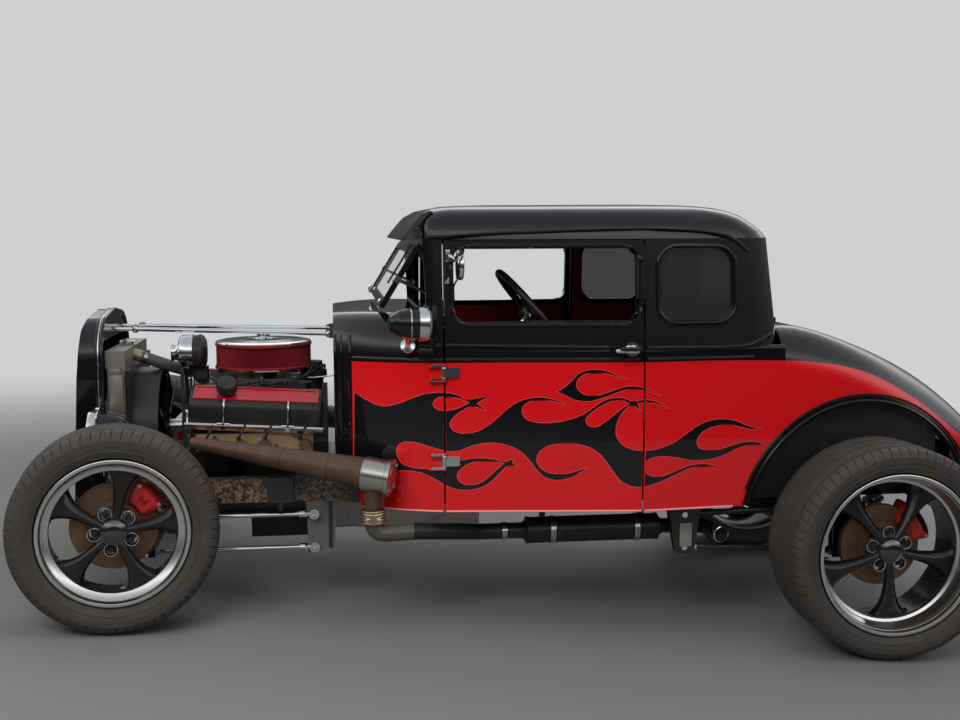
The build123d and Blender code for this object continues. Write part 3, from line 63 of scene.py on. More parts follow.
# Studio. A pale floor under a soft dome that is dark low down and bright at mid height, with a warm key
# lamp from the front left, a wide one overhead and a cool one from the far side. The lamps themselves
# don't show in gloss, so that the paint reflects only the dome's long quiet bands.


def finish(name, color, roughness, metallic=0.0, wear=None, **sockets):
    """A material whose plain numbers sit on the shader's own sockets, under a worn surface where given."""
    made = bpy.data.materials.new(name)
    made.use_nodes = True
    shader = made.node_tree.nodes["Principled BSDF"]
    shader.inputs["Base Color"].default_value = (*color, 1)
    shader.inputs["Roughness"].default_value = roughness
    shader.inputs["Metallic"].default_value = metallic
    for socket, value in sockets.items():
        shader.inputs[socket.replace("_", " ")].default_value = value
    if wear:
        weather(made, wear)
    return made


def node(owner, kind, inputs=(), **settings):
    """A node in a material or a tree, with its settings and with numbers or links for its inputs."""
    tree = getattr(owner, "node_tree", None) or owner
    made = tree.nodes.new("ShaderNode" + kind)
    for key, value in settings.items():
        setattr(made, key, value)
    for key, value in dict(inputs).items():
        if isinstance(value, bpy.types.NodeSocket):
            tree.links.new(value, made.inputs[key])
        else:
            made.inputs[key].default_value = value
    return made


world = bpy.data.worlds.new("studio")
bpy.context.scene.world = world
world.use_nodes = True
sky = world.node_tree
sky.nodes.clear()
path = node(sky, "LightPath").outputs
seen = node(sky, "Math", {0: path["Is Camera Ray"], 1: path["Is Glossy Ray"]}, operation="ADD")
seen_through = node(sky, "Math", {0: seen.outputs[0], 1: path["Is Transmission Ray"]}, operation="ADD",
    use_clamp=True)
split = node(sky, "SeparateXYZ", {0: node(sky, "TexCoord").outputs["Generated"]})
lift = node(sky, "MapRange", {"Value": split.outputs["Z"], "From Min": -1})
dome = node(sky, "ValToRGB", {0: lift.outputs[0]})
dome.color_ramp.elements[0].position = 0.46
dome.color_ramp.elements[0].color = (0.035, 0.037, 0.04, 1)
dome.color_ramp.elements[1].position = 0.92
dome.color_ramp.elements[1].color = (0.42, 0.44, 0.47, 1)
for height, light in ((0.53, 0.07), (0.61, 0.3), (0.71, 1.5), (0.8, 0.7)):
    dome.color_ramp.elements.new(height).color = (light * 0.96, light * 0.98, light, 1)
behind = node(sky, "Mix", {"Factor": path["Is Camera Ray"], "A": dome.outputs[0], "B": (0.62, 0.63, 0.64, 1)},
    data_type="RGBA")
pick = node(sky, "Mix", {"Factor": seen_through.outputs[0], "A": (0.4, 0.41, 0.43, 1),
    "B": behind.outputs["Result"]}, data_type="RGBA")
glow = node(sky, "Background", {"Color": pick.outputs["Result"]})
node(sky, "OutputWorld", {"Surface": glow.outputs[0]})
for name, spot, size, power in (("key_lamp", (2.6, 4.2, 3.8), (3.2, 2.2), 190),
        ("top_lamp", (-0.4, 0.2, 4.6), (5.0, 2.6), 110), ("far_lamp", (-2.5, -4.5, 3.0), (3.0, 2.0), 90),):
    lamp = bpy.data.objects.new(name, bpy.data.lights.new(name, "AREA"))
    lamp.data.shape = "RECTANGLE"
    lamp.data.size, lamp.data.size_y = size
    lamp.data.energy = power
    lamp.visible_glossy = False
    lamp.data.color = (1.0, 0.96, 0.9) if name == "key_lamp" else (0.94, 0.97, 1.0)
    lamp.location = spot
    lamp.rotation_euler = (Vector((0, 0, 0.6)) - Vector(spot)).to_track_quat("-Z", "Y").to_euler()
    bpy.context.collection.objects.link(lamp)
ground = bmesh.new()
bmesh.ops.create_grid(ground, x_segments=1, y_segments=1, size=30)
floor = bpy.data.objects.new("floor", bpy.data.meshes.new("floor"))
ground.to_mesh(floor.data)
bpy.context.collection.objects.link(floor)
pale = finish("pale_floor", (0.17, 0.17, 0.166), 0.75)
out = node(pale, "VectorMath", {0: node(pale, "TexCoord").outputs["Object"]}, operation="LENGTH")
fade = node(pale, "MapRange", {"Value": out.outputs["Value"], "From Min": 2.6, "From Max": 6.5, "To Min": 1,
    "To Max": 0}, interpolation_type="SMOOTHSTEP")
pale.node_tree.links.new(fade.outputs[0], pale.node_tree.nodes["Principled BSDF"].inputs["Alpha"])
floor.data.materials.append(pale)

# Body paint. Steel panels in gloss black above the belt and gloss red below it, clear coated
# and polished. The break between them runs along the belt and drops away over the tail.
worn = bpy.data.node_groups.new("worn_surface", "ShaderNodeTree")
for label, kind, start in (("Vector", "Vector", (0, 0, 0)), ("Base", "Color", (0.5, 0.5, 0.5, 1)),
        ("Worn", "Color", (0.3, 0.2, 0.1, 1)), ("Scale", "Float", 10), ("Cover", "Float", 0.3),
        ("Soft", "Float", 0.15), ("Shine", "Float", 0.3), ("Dull", "Float", 0.6), ("Grain", "Float", 80),
        ("Depth", "Float", 0.1),):
    worn.interface.new_socket(label, in_out="INPUT", socket_type="NodeSocket" + kind).default_value = start
for label, kind in (("Color", "Color"), ("Roughness", "Float"), ("Normal", "Vector"), ("Mask", "Float")):
    worn.interface.new_socket(label, in_out="OUTPUT", socket_type="NodeSocket" + kind)
given = worn.nodes.new("NodeGroupInput").outputs
clouds = node(worn, "TexNoise", {"Vector": given["Vector"], "Scale": given["Scale"], "Detail": 7,
    "Roughness": 0.62})
edge = node(worn, "Math", {0: 1.0, 1: given["Cover"]}, operation="SUBTRACT")
spread = node(worn, "MapRange", {"Value": edge.outputs[0], "To Min": 0.28, "To Max": 0.72})
upper = node(worn, "Math", {0: spread.outputs[0], 1: given["Soft"]})
mask = node(worn, "MapRange", {"Value": clouds.outputs[0], "From Min": spread.outputs[0],
    "From Max": upper.outputs[0]})
color = node(worn, "Mix", {"Factor": mask.outputs[0], "A": given["Base"], "B": given["Worn"]},
    data_type="RGBA")
rough = node(worn, "MapRange", {"Value": mask.outputs[0], "To Min": given["Shine"], "To Max": given["Dull"]})
fine = node(worn, "TexNoise", {"Vector": given["Vector"], "Scale": given["Grain"], "Detail": 4})
both = node(worn, "Math", {0: fine.outputs[0], 1: mask.outputs[0]})
raised = node(worn, "Bump", {"Height": both.outputs[0], "Strength": given["Depth"], "Distance": 0.001})
result = worn.nodes.new("NodeGroupOutput")
for label, source in (("Color", color.outputs["Result"]), ("Roughness", rough.outputs[0]),
        ("Normal", raised.outputs[0]), ("Mask", mask.outputs[0])):
    worn.links.new(source, result.inputs[label])


def weather(material, wear, place=None, base=None):
    """Lays the worn surface over a material, in its own object coordinates."""
    tree, shader = material.node_tree, material.node_tree.nodes["Principled BSDF"]
    place = place or node(material, "TexCoord").outputs["Object"]
    layer = node(material, "Group", node_tree=worn)
    tree.links.new(place, layer.inputs["Vector"])
    layer.inputs["Base"].default_value = shader.inputs["Base Color"].default_value
    layer.inputs["Shine"].default_value = shader.inputs["Roughness"].default_value
    if base:
        tree.links.new(base, layer.inputs["Base"])
    for key, value in zip(("Worn", "Scale", "Cover", "Soft", "Dull", "Grain", "Depth"), wear):
        layer.inputs[key].default_value = (*value, 1) if isinstance(value, tuple) else value
    for label, socket in (("Color", "Base Color"), ("Roughness", "Roughness"), ("Normal", "Normal")):
        tree.links.new(layer.outputs[label], shader.inputs[socket])


def patched(material, mask, plain, other, wear, place=None):
    """Wears a material that takes a second colour where its mask lies."""
    tones = node(material, "Mix", {"Factor": mask, "A": (*plain, 1), "B": (*other, 1)}, data_type="RGBA")
    weather(material, wear, place, tones.outputs["Result"])


def level_place(material):
    """Object coordinates turned level, so x is the way forward from the front hubs."""
    return node(material, "Mapping", {"Vector": node(material, "TexCoord").outputs["Object"],
        "Location": stance.translation, "Rotation": (0, atan2(DROP, WHEELBASE), 0)},
        vector_type="TEXTURE").outputs[0]


def paint(material, node_name):
    """Gives a CAD node's object one material."""
    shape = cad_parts[node_name]
    shape.data.materials.clear()
    shape.data.materials.append(material)


BLACK = (0.004, 0.004, 0.005)
RED = (0.62, 0.006, 0.009)
black_paint = finish("gloss_black_paint", BLACK, 0.08, 0, ((0.012, 0.012, 0.014), 5, 0.35, 0.5, 0.16, 900,
    0.008), Coat_Weight=1.0, Coat_Roughness=0.02, Specular_IOR_Level=0.1)
two_tone = finish("two_tone_paint", RED, 0.08, Coat_Weight=1.0, Coat_Roughness=0.02, Specular_IOR_Level=0.1)
level = level_place(two_tone)
parts = node(two_tone, "SeparateXYZ", {0: level})
along = node(two_tone, "MapRange", {"Value": parts.outputs["X"], "From Min": -0.7, "From Max": -3.1})
drop = node(two_tone, "FloatCurve", {"Value": along.outputs[0]})
line = drop.mapping.curves[0]
line.points[0].location = (0.0, 0.899)
line.points[1].location = (1.0, 0.44)
for s, z in ((0.777, 0.899), (1.077, 0.903), (1.744, 0.903), (2.12, 0.9), (2.345, 0.887), (2.529, 0.85),
        (2.717, 0.76), (2.814, 0.695), (2.879, 0.644), (2.98, 0.56)):
    line.points.new((s - 0.7) / 2.4, z)
drop.mapping.update()
over = node(two_tone, "Math", {0: parts.outputs["Z"], 1: drop.outputs[0]}, operation="SUBTRACT")
above_break = node(two_tone, "MapRange", {"Value": over.outputs[0], "From Min": -0.0008, "From Max": 0.0008})
ledge = node(two_tone, "MapRange", {"Value": parts.outputs["X"], "From Min": -0.778, "From Max": -0.776})
from_arch = node(two_tone, "VectorMath", {0: node(two_tone, "VectorMath", {0: level, 1: (1, 0, 1)},
    operation="MULTIPLY").outputs[0], 1: (-2.536, 0, 0.318)}, operation="DISTANCE")
lip = node(two_tone, "MapRange", {"Value": from_arch.outputs["Value"], "From Min": 0.4475,
    "From Max": 0.4455})
dark = node(two_tone, "Math", {0: above_break.outputs[0], 1: ledge.outputs[0]}, operation="MAXIMUM")
dark = node(two_tone, "Math", {0: dark.outputs[0], 1: lip.outputs[0]}, operation="MAXIMUM")
patched(two_tone, dark.outputs[0], RED, BLACK, ((0.03, 0.004, 0.005), 3, 0.04, 0.6, 0.14, 900, 0.008), level)
for name in ("cowl", "door_left", "door_right", "rear_body"):
    paint(two_tone, name)
for name in ("roof_panel", "deck_lid", "radiator_shell", "cowl_lamp", "headlamps"):
    paint(black_paint, name)

# Flames, painted in black over the red on both sides, each edged with a hand pulled pink line.
# They start at the cowl ledge and lick back over the doors to the quarters. Paint has no
# thickness to speak of, so each lick is a film dropped on the panel and cut at its gaps.
flame_black = finish("flame_black", BLACK, 0.09, 0, ((0.014, 0.013, 0.011), 7, 0.4, 0.6, 0.2, 900, 0.008),
    Coat_Weight=1.0, Coat_Roughness=0.02, Specular_IOR_Level=0.1)
flame_line = finish("flame_line", (0.8, 0.055, 0.06), 0.14, 0, ((0.62, 0.03, 0.035), 40, 0.3, 0.15, 0.25, 600,
    0.01), Coat_Weight=1.0, Coat_Roughness=0.05)
OUTLINES = (((782, 797), (830, 769), (876, 754), (927, 765), (982, 789), (1028, 803), (1077, 806),
    (1124, 797), (1156, 782), (1183, 787), (1239, 790), (1208, 779), (1188, 767), (1205, 756), (1223, 740),
    (1193, 751), (1171, 758), (1142, 744), (1114, 724), (1098, 701), (1104, 683), (1127, 671), (1158, 670),
    (1190, 677), (1220, 694), (1253, 721), (1290, 754), (1327, 777), (1364, 787), (1400, 789), (1447, 779),
    (1498, 755), (1461, 765), (1424, 775), (1391, 777), (1359, 771), (1339, 755), (1337, 737), (1347, 718),
    (1373, 707), (1405, 703), (1452, 706), (1493, 715), (1535, 731), (1567, 753), (1595, 772), (1622, 784),
    (1650, 787), (1678, 783), (1700, 773), (1728, 779), (1762, 777), (1801, 762), (1849, 730), (1811, 749),
    (1777, 762), (1744, 768), (1718, 764), (1724, 749), (1734, 730), (1717, 746), (1698, 757), (1673, 741),
    (1656, 715), (1646, 682), (1649, 655), (1665, 631), (1693, 615), (1726, 608), (1764, 609), (1803, 617),
    (1847, 635), (1891, 664), (1935, 691), (1975, 703), (2020, 705), (2061, 698), (2106, 679), (2161, 666),
    (2122, 663), (2081, 672), (2041, 682), (2001, 681), (1961, 670), (1935, 652), (1925, 632), (1930, 614),
    (1950, 602), (1987, 600), (2022, 606), (2057, 616), (2098, 624), (2138, 622), (2179, 604), (2142, 609),
    (2103, 608), (2065, 597), (2028, 580), (1991, 569), (1948, 564), (1903, 565), (1863, 574), (1823, 581),
    (1784, 582), (1754, 572), (1742, 555), (1746, 536), (1761, 522), (1787, 516), (1816, 520), (1854, 534),
    (1893, 548), (1933, 554), (1973, 551), (2011, 540), (1973, 543), (1933, 543), (1893, 534), (1854, 518),
    (1810, 499), (1767, 485), (1727, 479), (1692, 485), (1664, 501), (1640, 530), (1617, 563), (1591, 594),
    (1563, 614), (1531, 625), (1494, 631), (1456, 629), (1421, 621), (1395, 603), (1385, 580), (1392, 557),
    (1412, 539), (1443, 530), (1477, 529), (1514, 538), (1562, 556), (1533, 533), (1503, 515), (1471, 506),
    (1443, 505), (1415, 513), (1392, 531), (1373, 555), (1353, 580), (1331, 602), (1303, 618), (1266, 630),
    (1225, 633), (1187, 628), (1150, 616), (1127, 607), (1099, 604), (1067, 610), (1035, 618), (1003, 628),
    (967, 634), (937, 628), (923, 609), (925, 587), (936, 565), (961, 552), (998, 547), (1039, 549),
    (1076, 557), (1105, 570), (1141, 579), (1178, 584), (1215, 584), (1252, 579), (1278, 571), (1301, 581),
    (1325, 585), (1305, 572), (1313, 561), (1328, 546), (1293, 556), (1271, 539), (1246, 511), (1217, 488),
    (1187, 476), (1154, 471), (1120, 474), (1086, 486), (1053, 505), (1016, 524), (977, 533), (924, 532),
    (845, 517), (777, 504),), ((1445, 805), (1474, 823), (1500, 847), (1522, 869), (1550, 879), (1584, 881),
    (1621, 873), (1658, 858), (1706, 845), (1668, 848), (1631, 859), (1594, 867), (1557, 866), (1529, 855),
    (1517, 839), (1517, 820), (1530, 804), (1553, 795), (1583, 795), (1617, 805), (1651, 817), (1686, 825),
    (1723, 823), (1761, 810), (1813, 777), (1771, 797), (1737, 810), (1705, 814), (1668, 808), (1631, 794),
    (1594, 781), (1558, 772), (1525, 773), (1497, 781), (1472, 795),), ((1043, 767), (1050, 753), (1068, 746),
    (1091, 746), (1119, 752), (1146, 764), (1158, 770), (1133, 781), (1105, 787), (1077, 789), (1056, 784),),
    ((1546, 710), (1551, 697), (1564, 690), (1580, 689), (1604, 703), (1630, 723), (1659, 747), (1685, 764),
    (1668, 774), (1645, 775), (1615, 766), (1585, 749), (1560, 730),), ((1122, 522), (1127, 506), (1146, 494),
    (1170, 492), (1196, 499), (1224, 519), (1252, 545), (1274, 564), (1252, 570), (1215, 572), (1178, 568),
    (1150, 557), (1129, 540),),)
drawn = bpy.data.curves.new("flames", "CURVE")
drawn.dimensions = "2D"
drawn.fill_mode = "BOTH"
drawn.resolution_u = 5
for outline in OUTLINES:
    spline = drawn.splines.new("BEZIER")
    spline.bezier_points.add(len(outline) - 1)
    spline.use_cyclic_u = True
    places = [Vector((s / 1000, z / 1000, 0)) for s, z in outline]
    for number, point in enumerate(spline.bezier_points):
        point.co = places[number]
        turn = (places[number] - places[number - 1]).angle(places[(number + 1) % len(places)] -
            places[number])
        point.handle_left_type = point.handle_right_type = "VECTOR" if turn > 1.7 else "AUTO"
sketch = bpy.data.objects.new("flames", drawn)
bpy.context.collection.objects.link(sketch)
bpy.context.view_layer.update()
flat_flames = bpy.data.meshes.new_from_object(sketch.evaluated_get(bpy.context.evaluated_depsgraph_get()))
bpy.data.objects.remove(sketch)
skins = {}


def skin_of(node_name):
    """A ray target of a CAD node's outer surface."""
    if node_name not in skins:
        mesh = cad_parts[node_name].data
        skins[node_name] = BVHTree.FromPolygons([v.co for v in mesh.vertices],
            [tuple(p.vertices) for p in mesh.polygons])
    return skins[node_name]


def on_skin(node_name, s, z, side, lift):
    """The place on a panel's skin at a station and height, seen square from one side."""
    start = stance @ Vector((-s, side * 1.2, z))
    hit = skin_of(node_name).ray_cast(start, Vector((0, -side, 0)))[0]
    if hit is None:
        hit = skin_of(node_name).find_nearest(start - Vector((0, side * 0.62, 0)))[0]
    return hit + Vector((0, side * lift, 0))


SIDES = ((1, "left"), (-1, "right"))
LIFT, LINE_WIDTH, CREASE, LEAF_TOP, LEAF_LEAN = 0.0006, 0.0022, 0.638, 0.606, 0.067
PANELS = (("cowl", "chassis", 0.777, 1.0765), ("door", "door", 1.0835, 1.734),
    ("rear_body", "chassis", 1.7445, 2.24))
for side, name in SIDES:
    for panel, body, front, rear in PANELS:
        node_name = f"door_{name}" if panel == "door" else panel
        film = bmesh.new()
        film.from_mesh(flat_flames)
        bmesh.ops.remove_doubles(film, verts=film.verts[:], dist=0.00002)
        bmesh.ops.inset_region(film, faces=film.faces[:], thickness=LINE_WIDTH, use_boundary=True,
            use_even_offset=True)
        edge_faces = {face for face in film.faces if any(e.is_boundary for e in face.edges)}
        for face in film.faces:
            face.material_index = int(face in edge_faces)
        cuts = [((front, 0, 0), (1, 0, 0), True, False), ((rear, 0, 0), (1, 0, 0), False, True)]
        cuts += [((front + 0.02 * (step + 1), 0, 0), (1, 0, 0), False, False)
            for step in range(int((rear - front) / 0.02))]
        cuts += [((0, CREASE + 0.022 * step, 0), (0, 1, 0), False, False) for step in range(-7, 12)]
        for spot, way, before, beyond in cuts:
            bmesh.ops.bisect_plane(film, geom=film.verts[:] + film.edges[:] + film.faces[:], plane_co=spot,
                plane_no=way, clear_inner=before, clear_outer=beyond)
        bmesh.ops.triangulate(film, faces=film.faces[:])
        for vert in film.verts:
            s, z = vert.co.x, vert.co.y
            if 1.03 < s < 1.135 and 0.546 < z < 0.604:
                clear = on_skin(node_name, s, LEAF_TOP, side, LIFT)
                vert.co = stance @ Vector((-s, clear.y + side * LEAF_LEAN * (z - LEAF_TOP), z))
            else:
                vert.co = on_skin(node_name, s, z, side, LIFT)
        for edge in film.edges:
            edge.smooth = len(edge.link_faces) == 2 and edge.calc_face_angle() < 0.03
        bmesh.ops.recalc_face_normals(film, faces=film.faces[:])
        if film.faces and sum(face.normal.y * face.calc_area() for face in film.faces) * side < 0:
            bmesh.ops.reverse_faces(film, faces=film.faces[:])
        flame = bpy.data.objects.new(f"flames_{panel}_{name}", bpy.data.meshes.new(f"flames_{panel}_{name}"))
        film.to_mesh(flame.data)
        flame.data.materials.append(flame_black)
        flame.data.materials.append(flame_line)
        flame.data.shade_smooth()
        bpy.context.collection.objects.link(flame)
        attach(flame, f"door_{name}" if panel == "door" else "chassis")

# Wheels. Cast alloy, each with a wide polished lip and five dark satin spokes that flare from a
# small hub into the barrel, held by five nuts in bright cups, over a domed cap and a cast disc.


QUARTER = {axis: Matrix.Rotation(pi / 2, 4, axis) for axis in "XYZ"}


def spun(mesh, profile, place=Matrix(), steps=96, material=0, axis=(0, 1, 0)):
    """Spins a run of (radius, along) points, in millimetres, about its axis into a skin."""
    out = Vector((1, 0, 0)) if abs(axis[0]) < 0.5 else Vector((0, 0, 1))
    ring = [mesh.verts.new(out * (radius / 1000) + Vector(axis) * (along / 1000)) for radius,
        along in profile]
    run = [mesh.edges.new(pair) for pair in zip(ring, ring[1:])]
    before = set(mesh.faces)
    bmesh.ops.spin(mesh, geom=ring + run, cent=(0, 0, 0), axis=axis, angle=2 * pi, steps=steps)
    fresh = [face for face in mesh.faces if face not in before]
    verts = list({vert for face in fresh for vert in face.verts})
    bmesh.ops.remove_doubles(mesh, verts=verts, dist=0.00001)
    fresh = [face for face in mesh.faces if face not in before]
    finished(mesh, fresh, place, material)
    return fresh


def finished(mesh, faces, place, material):
    """Turns new faces outwards, gives them their material and puts them in place."""
    bmesh.ops.recalc_face_normals(mesh, faces=faces)
    for face in faces:
        face.material_index = material
    bmesh.ops.transform(mesh, matrix=place, verts=list({vert for face in faces for vert in face.verts}))


def aimed(way, axis="Y", up="Z"):
    """The turn that points an axis along a way."""
    return way.to_track_quat(axis, up).to_matrix().to_4x4()


def rod(mesh, start, end, radius, steps=16, material=0, tip=None):
    """A round bar between two places, with its ends closed."""
    start, end = Vector(start), Vector(end)
    way = end - start
    before = set(mesh.faces)
    bmesh.ops.create_cone(mesh, cap_ends=True, segments=steps, radius1=radius,
        radius2=radius if tip is None else tip, depth=way.length, matrix=Matrix.Translation(
        (start + end) / 2) @ aimed(way, "Z", "Y"))
    fresh = [face for face in mesh.faces if face not in before]
    for face in fresh:
        face.material_index = material
    return fresh


def loft(mesh, rings, material=0, closed=True, capped=True):
    """A skin over rings of places, with its ends closed where asked."""
    rows = [[mesh.verts.new(spot) for spot in ring] for ring in rings]
    fresh = []
    for one, two in zip(rows, rows[1:]):
        count = len(one) if closed else len(one) - 1
        for n in range(count):
            m = (n + 1) % len(one)
            fresh.append(mesh.faces.new((one[n], one[m], two[m], two[n])))
    if capped:
        fresh += [mesh.faces.new(rows[0][::-1]), mesh.faces.new(rows[-1])]
    bmesh.ops.recalc_face_normals(mesh, faces=fresh)
    for face in fresh:
        face.material_index = material
    return fresh


def piece(name, mesh, materials, body, place=stance, sharp=35):
    """Puts a mesh drawn level on the car in its place, as an object that rides on one body."""
    bmesh.ops.transform(mesh, matrix=place, verts=mesh.verts[:])
    if place.is_negative:
        bmesh.ops.reverse_faces(mesh, faces=mesh.faces[:])
    made = bpy.data.objects.new(name, bpy.data.meshes.new(name))
    mesh.to_mesh(made.data)
    mesh.free()
    for material in materials:
        made.data.materials.append(material)
    made.data.shade_smooth()
    made.data.set_sharp_from_angle(angle=radians(sharp))
    bpy.context.collection.objects.link(made)
    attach(made, body)
    return made


polished = finish("polished_alloy", (0.8, 0.79, 0.77), 0.24, 1.0, ((0.5, 0.48, 0.45), 14, 0.35, 0.5, 0.34,
    420, 0.03))
satin_black = finish("satin_black_spokes", (0.02, 0.018, 0.017), 0.3, 0.55,
    ((0.06, 0.05, 0.042), 10, 0.35, 0.6, 0.42, 300, 0.03), Coat_Weight=0.5, Coat_Roughness=0.12)
chrome = finish("chrome_plate", (0.86, 0.87, 0.89), 0.05, 1.0, ((0.66, 0.66, 0.66), 22, 0.18, 0.5, 0.16, 500,
    0.01))
black_chrome = finish("black_chrome_cap", (0.16, 0.15, 0.15), 0.1, 1.0, ((0.1, 0.09, 0.085), 22, 0.3, 0.5,
    0.24, 500, 0.01))
cast_iron = finish("cast_disc_iron", (0.2, 0.13, 0.085), 0.5, 0.7, ((0.34, 0.2, 0.1), 16, 0.5, 0.3, 0.72, 220,
    0.2))
SIZES = {"f": (235.8, 194, 30, 7, 328, 215), "r": (273.9, 264, 70, -14, 362, 285)}
CORNERS, KINGPIN, PARKED = {}, 0.56, 8
for corner, s, side, y, z in (("fl", 0, 1, 0.746, 0.4), ("fr", 0, -1, 0.746, 0.4),
        ("rl", WHEELBASE, 1, 0.851, 0.265), ("rr", WHEELBASE, -1, 0.851, 0.265)):
    steer = Matrix.Rotation(radians(PARKED if s == 0 else 0), 4, "Z")
    pin = Matrix.Translation((-s, side * KINGPIN, 0))
    CORNERS[corner] = (stance @ pin @ steer @ Matrix.Translation((0, side * (y - KINGPIN), z)) @
        Matrix.Diagonal((1, side, 1, 1)))
for corner, place in CORNERS.items():
    R, width, dish, angle, _, _ = SIZES[corner[0]]
    depth = 104 + dish
    shape = bmesh.new()
    spun(shape, ((R - 40.5, -dish - 3), (R - 38.5, -dish + 1), (R - 30, -dish + 5),
        (R - 17.5, -dish * 0.5 - 1), (R - 14.5, -10), (R - 13.5, -5), (R - 11.5, -1.5), (R - 8, -0.5),
        (R - 4, 0), (R - 1, -1.5), (R, -5), (R, -12), (R - 3, -14), (R - 16.5, -18), (R - 17.5, -width + 18),
        (R - 3, -width + 14), (R, -width + 12), (R, -width + 1), (R - 10, -width), (R - 16, -width + 6)),
        material=0)
    spun(shape, ((R - 40.5, -dish - 3), (R - 41, -dish - 7), (R - 38, -dish - 20), (R - 29, -dish - 45),
        (R - 27, -width + 30), (R - 16, -width + 6)), material=1)
    reach = (R - 39) / 1000
    for number in range(5):
        turn = Matrix.Rotation(radians(angle + number * 72 - 180), 4, "Y")
        rings = []
        for share, top, base, crest, sink in ((0.1, 0.0085, 0.016, 0.0, 0.022),
                (0.24, 0.008, 0.014, 0.004, 0.024), (0.4, 0.0085, 0.016, 0.003, 0.026),
                (0.55, 0.01, 0.02, 0.0, 0.028), (0.68, 0.013, 0.025, -0.003, 0.03),
                (0.8, 0.019, 0.034, -0.006, 0.033), (0.9, 0.029, 0.048, -0.009, 0.038),
                (0.96, 0.041, 0.062, -0.011, 0.042), (1.0, 0.052, 0.074, -0.011, 0.044),):
            r, y = reach * share, crest - dish / 1000
            across_at = ((-base, -sink), (-base * 0.96, -sink * 0.62), (-(top + base) / 2, -sink * 0.32),
                (-top, -0.0045), (-top * 0.55, -0.0008), (0, 0), (top * 0.55, -0.0008), (top, -0.0045),
                ((top + base) / 2, -sink * 0.32), (base * 0.96, -sink * 0.62), (base, -sink))
            limit = [min(r, (reach ** 2 - u ** 2) ** 0.5) for u, _ in across_at]
            rings.append([turn @ Vector((far, y + drop, u)) for far, (u, drop) in zip(limit, across_at)])
        loft(shape, rings, material=1)
        nut = turn @ Matrix.Rotation(radians(36), 4, "Y") @ Matrix.Translation((0.0603, 0, 0))
        spun(shape, ((23.5, -dish - 34), (23.5, -dish - 12), (22, -dish - 8.5), (19.5, -dish - 8),
            (16.5, -dish - 12), (15.5, -dish - 26), (0, -dish - 26)), nut, 28, 2)
        nut_faces = bmesh.ops.create_cone(shape, cap_ends=True, segments=6, radius1=0.0105, radius2=0.0095,
            depth=0.018, matrix=nut @ Matrix.Translation((0, -(dish + 18) / 1000, 0)) @ QUARTER["X"])
        for face in {face for vert in nut_faces["verts"] for face in vert.link_faces}:
            face.material_index = 3
        rod(shape, *[nut @ Vector((0, -(dish + sunk) / 1000, 0)) for sunk in (12, 4)], 0.0045, 12, 3)
    spun(shape, ((0, -dish - 45), (70, -dish - 45), (73.5, -dish - 40), (70, -dish - 22), (60, -dish - 18),
        (46, -dish - 10), (43, -dish + 0), (41, -dish + 2)), steps=64, material=1)
    spun(shape, ((41, -dish + 2), (40.5, -dish + 10), (38, -dish + 12.5), (34, -dish + 13.5),
        (30, -dish + 16.5), (20, -dish + 18.8), (0, -dish + 19.8)), steps=48, material=4)
    spun(shape, ((0, -dish - 44), (56, -dish - 44), (56, -depth + 30), (82, -depth + 28), (85, -depth + 22),
        (138, -depth + 22), (140, -depth + 20), (140, -depth + 15), (134, -depth + 14.5), (134, -depth + 7.5),
        (140, -depth + 7), (140, -depth + 1), (138, -depth), (70, -depth), (56, -depth - 4), (17, -depth - 4),
        (17, -dish - 46), (0, -dish - 46)), steps=72, material=5)
    valve = Matrix.Rotation(radians(angle + 18), 4, "Y")
    rod(shape, valve @ (Vector((R - 33, -dish - 16, 0)) / 1000), valve @
        (Vector((R - 52, 8 - dish, 0)) / 1000), 0.0035, 10, 3)
    wheel = piece(f"road_wheel_{corner}", shape, (polished, satin_black, polished, satin_black, black_chrome,
        cast_iron), f"wheel_{corner}", place)
    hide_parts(f"wheel_{corner}")

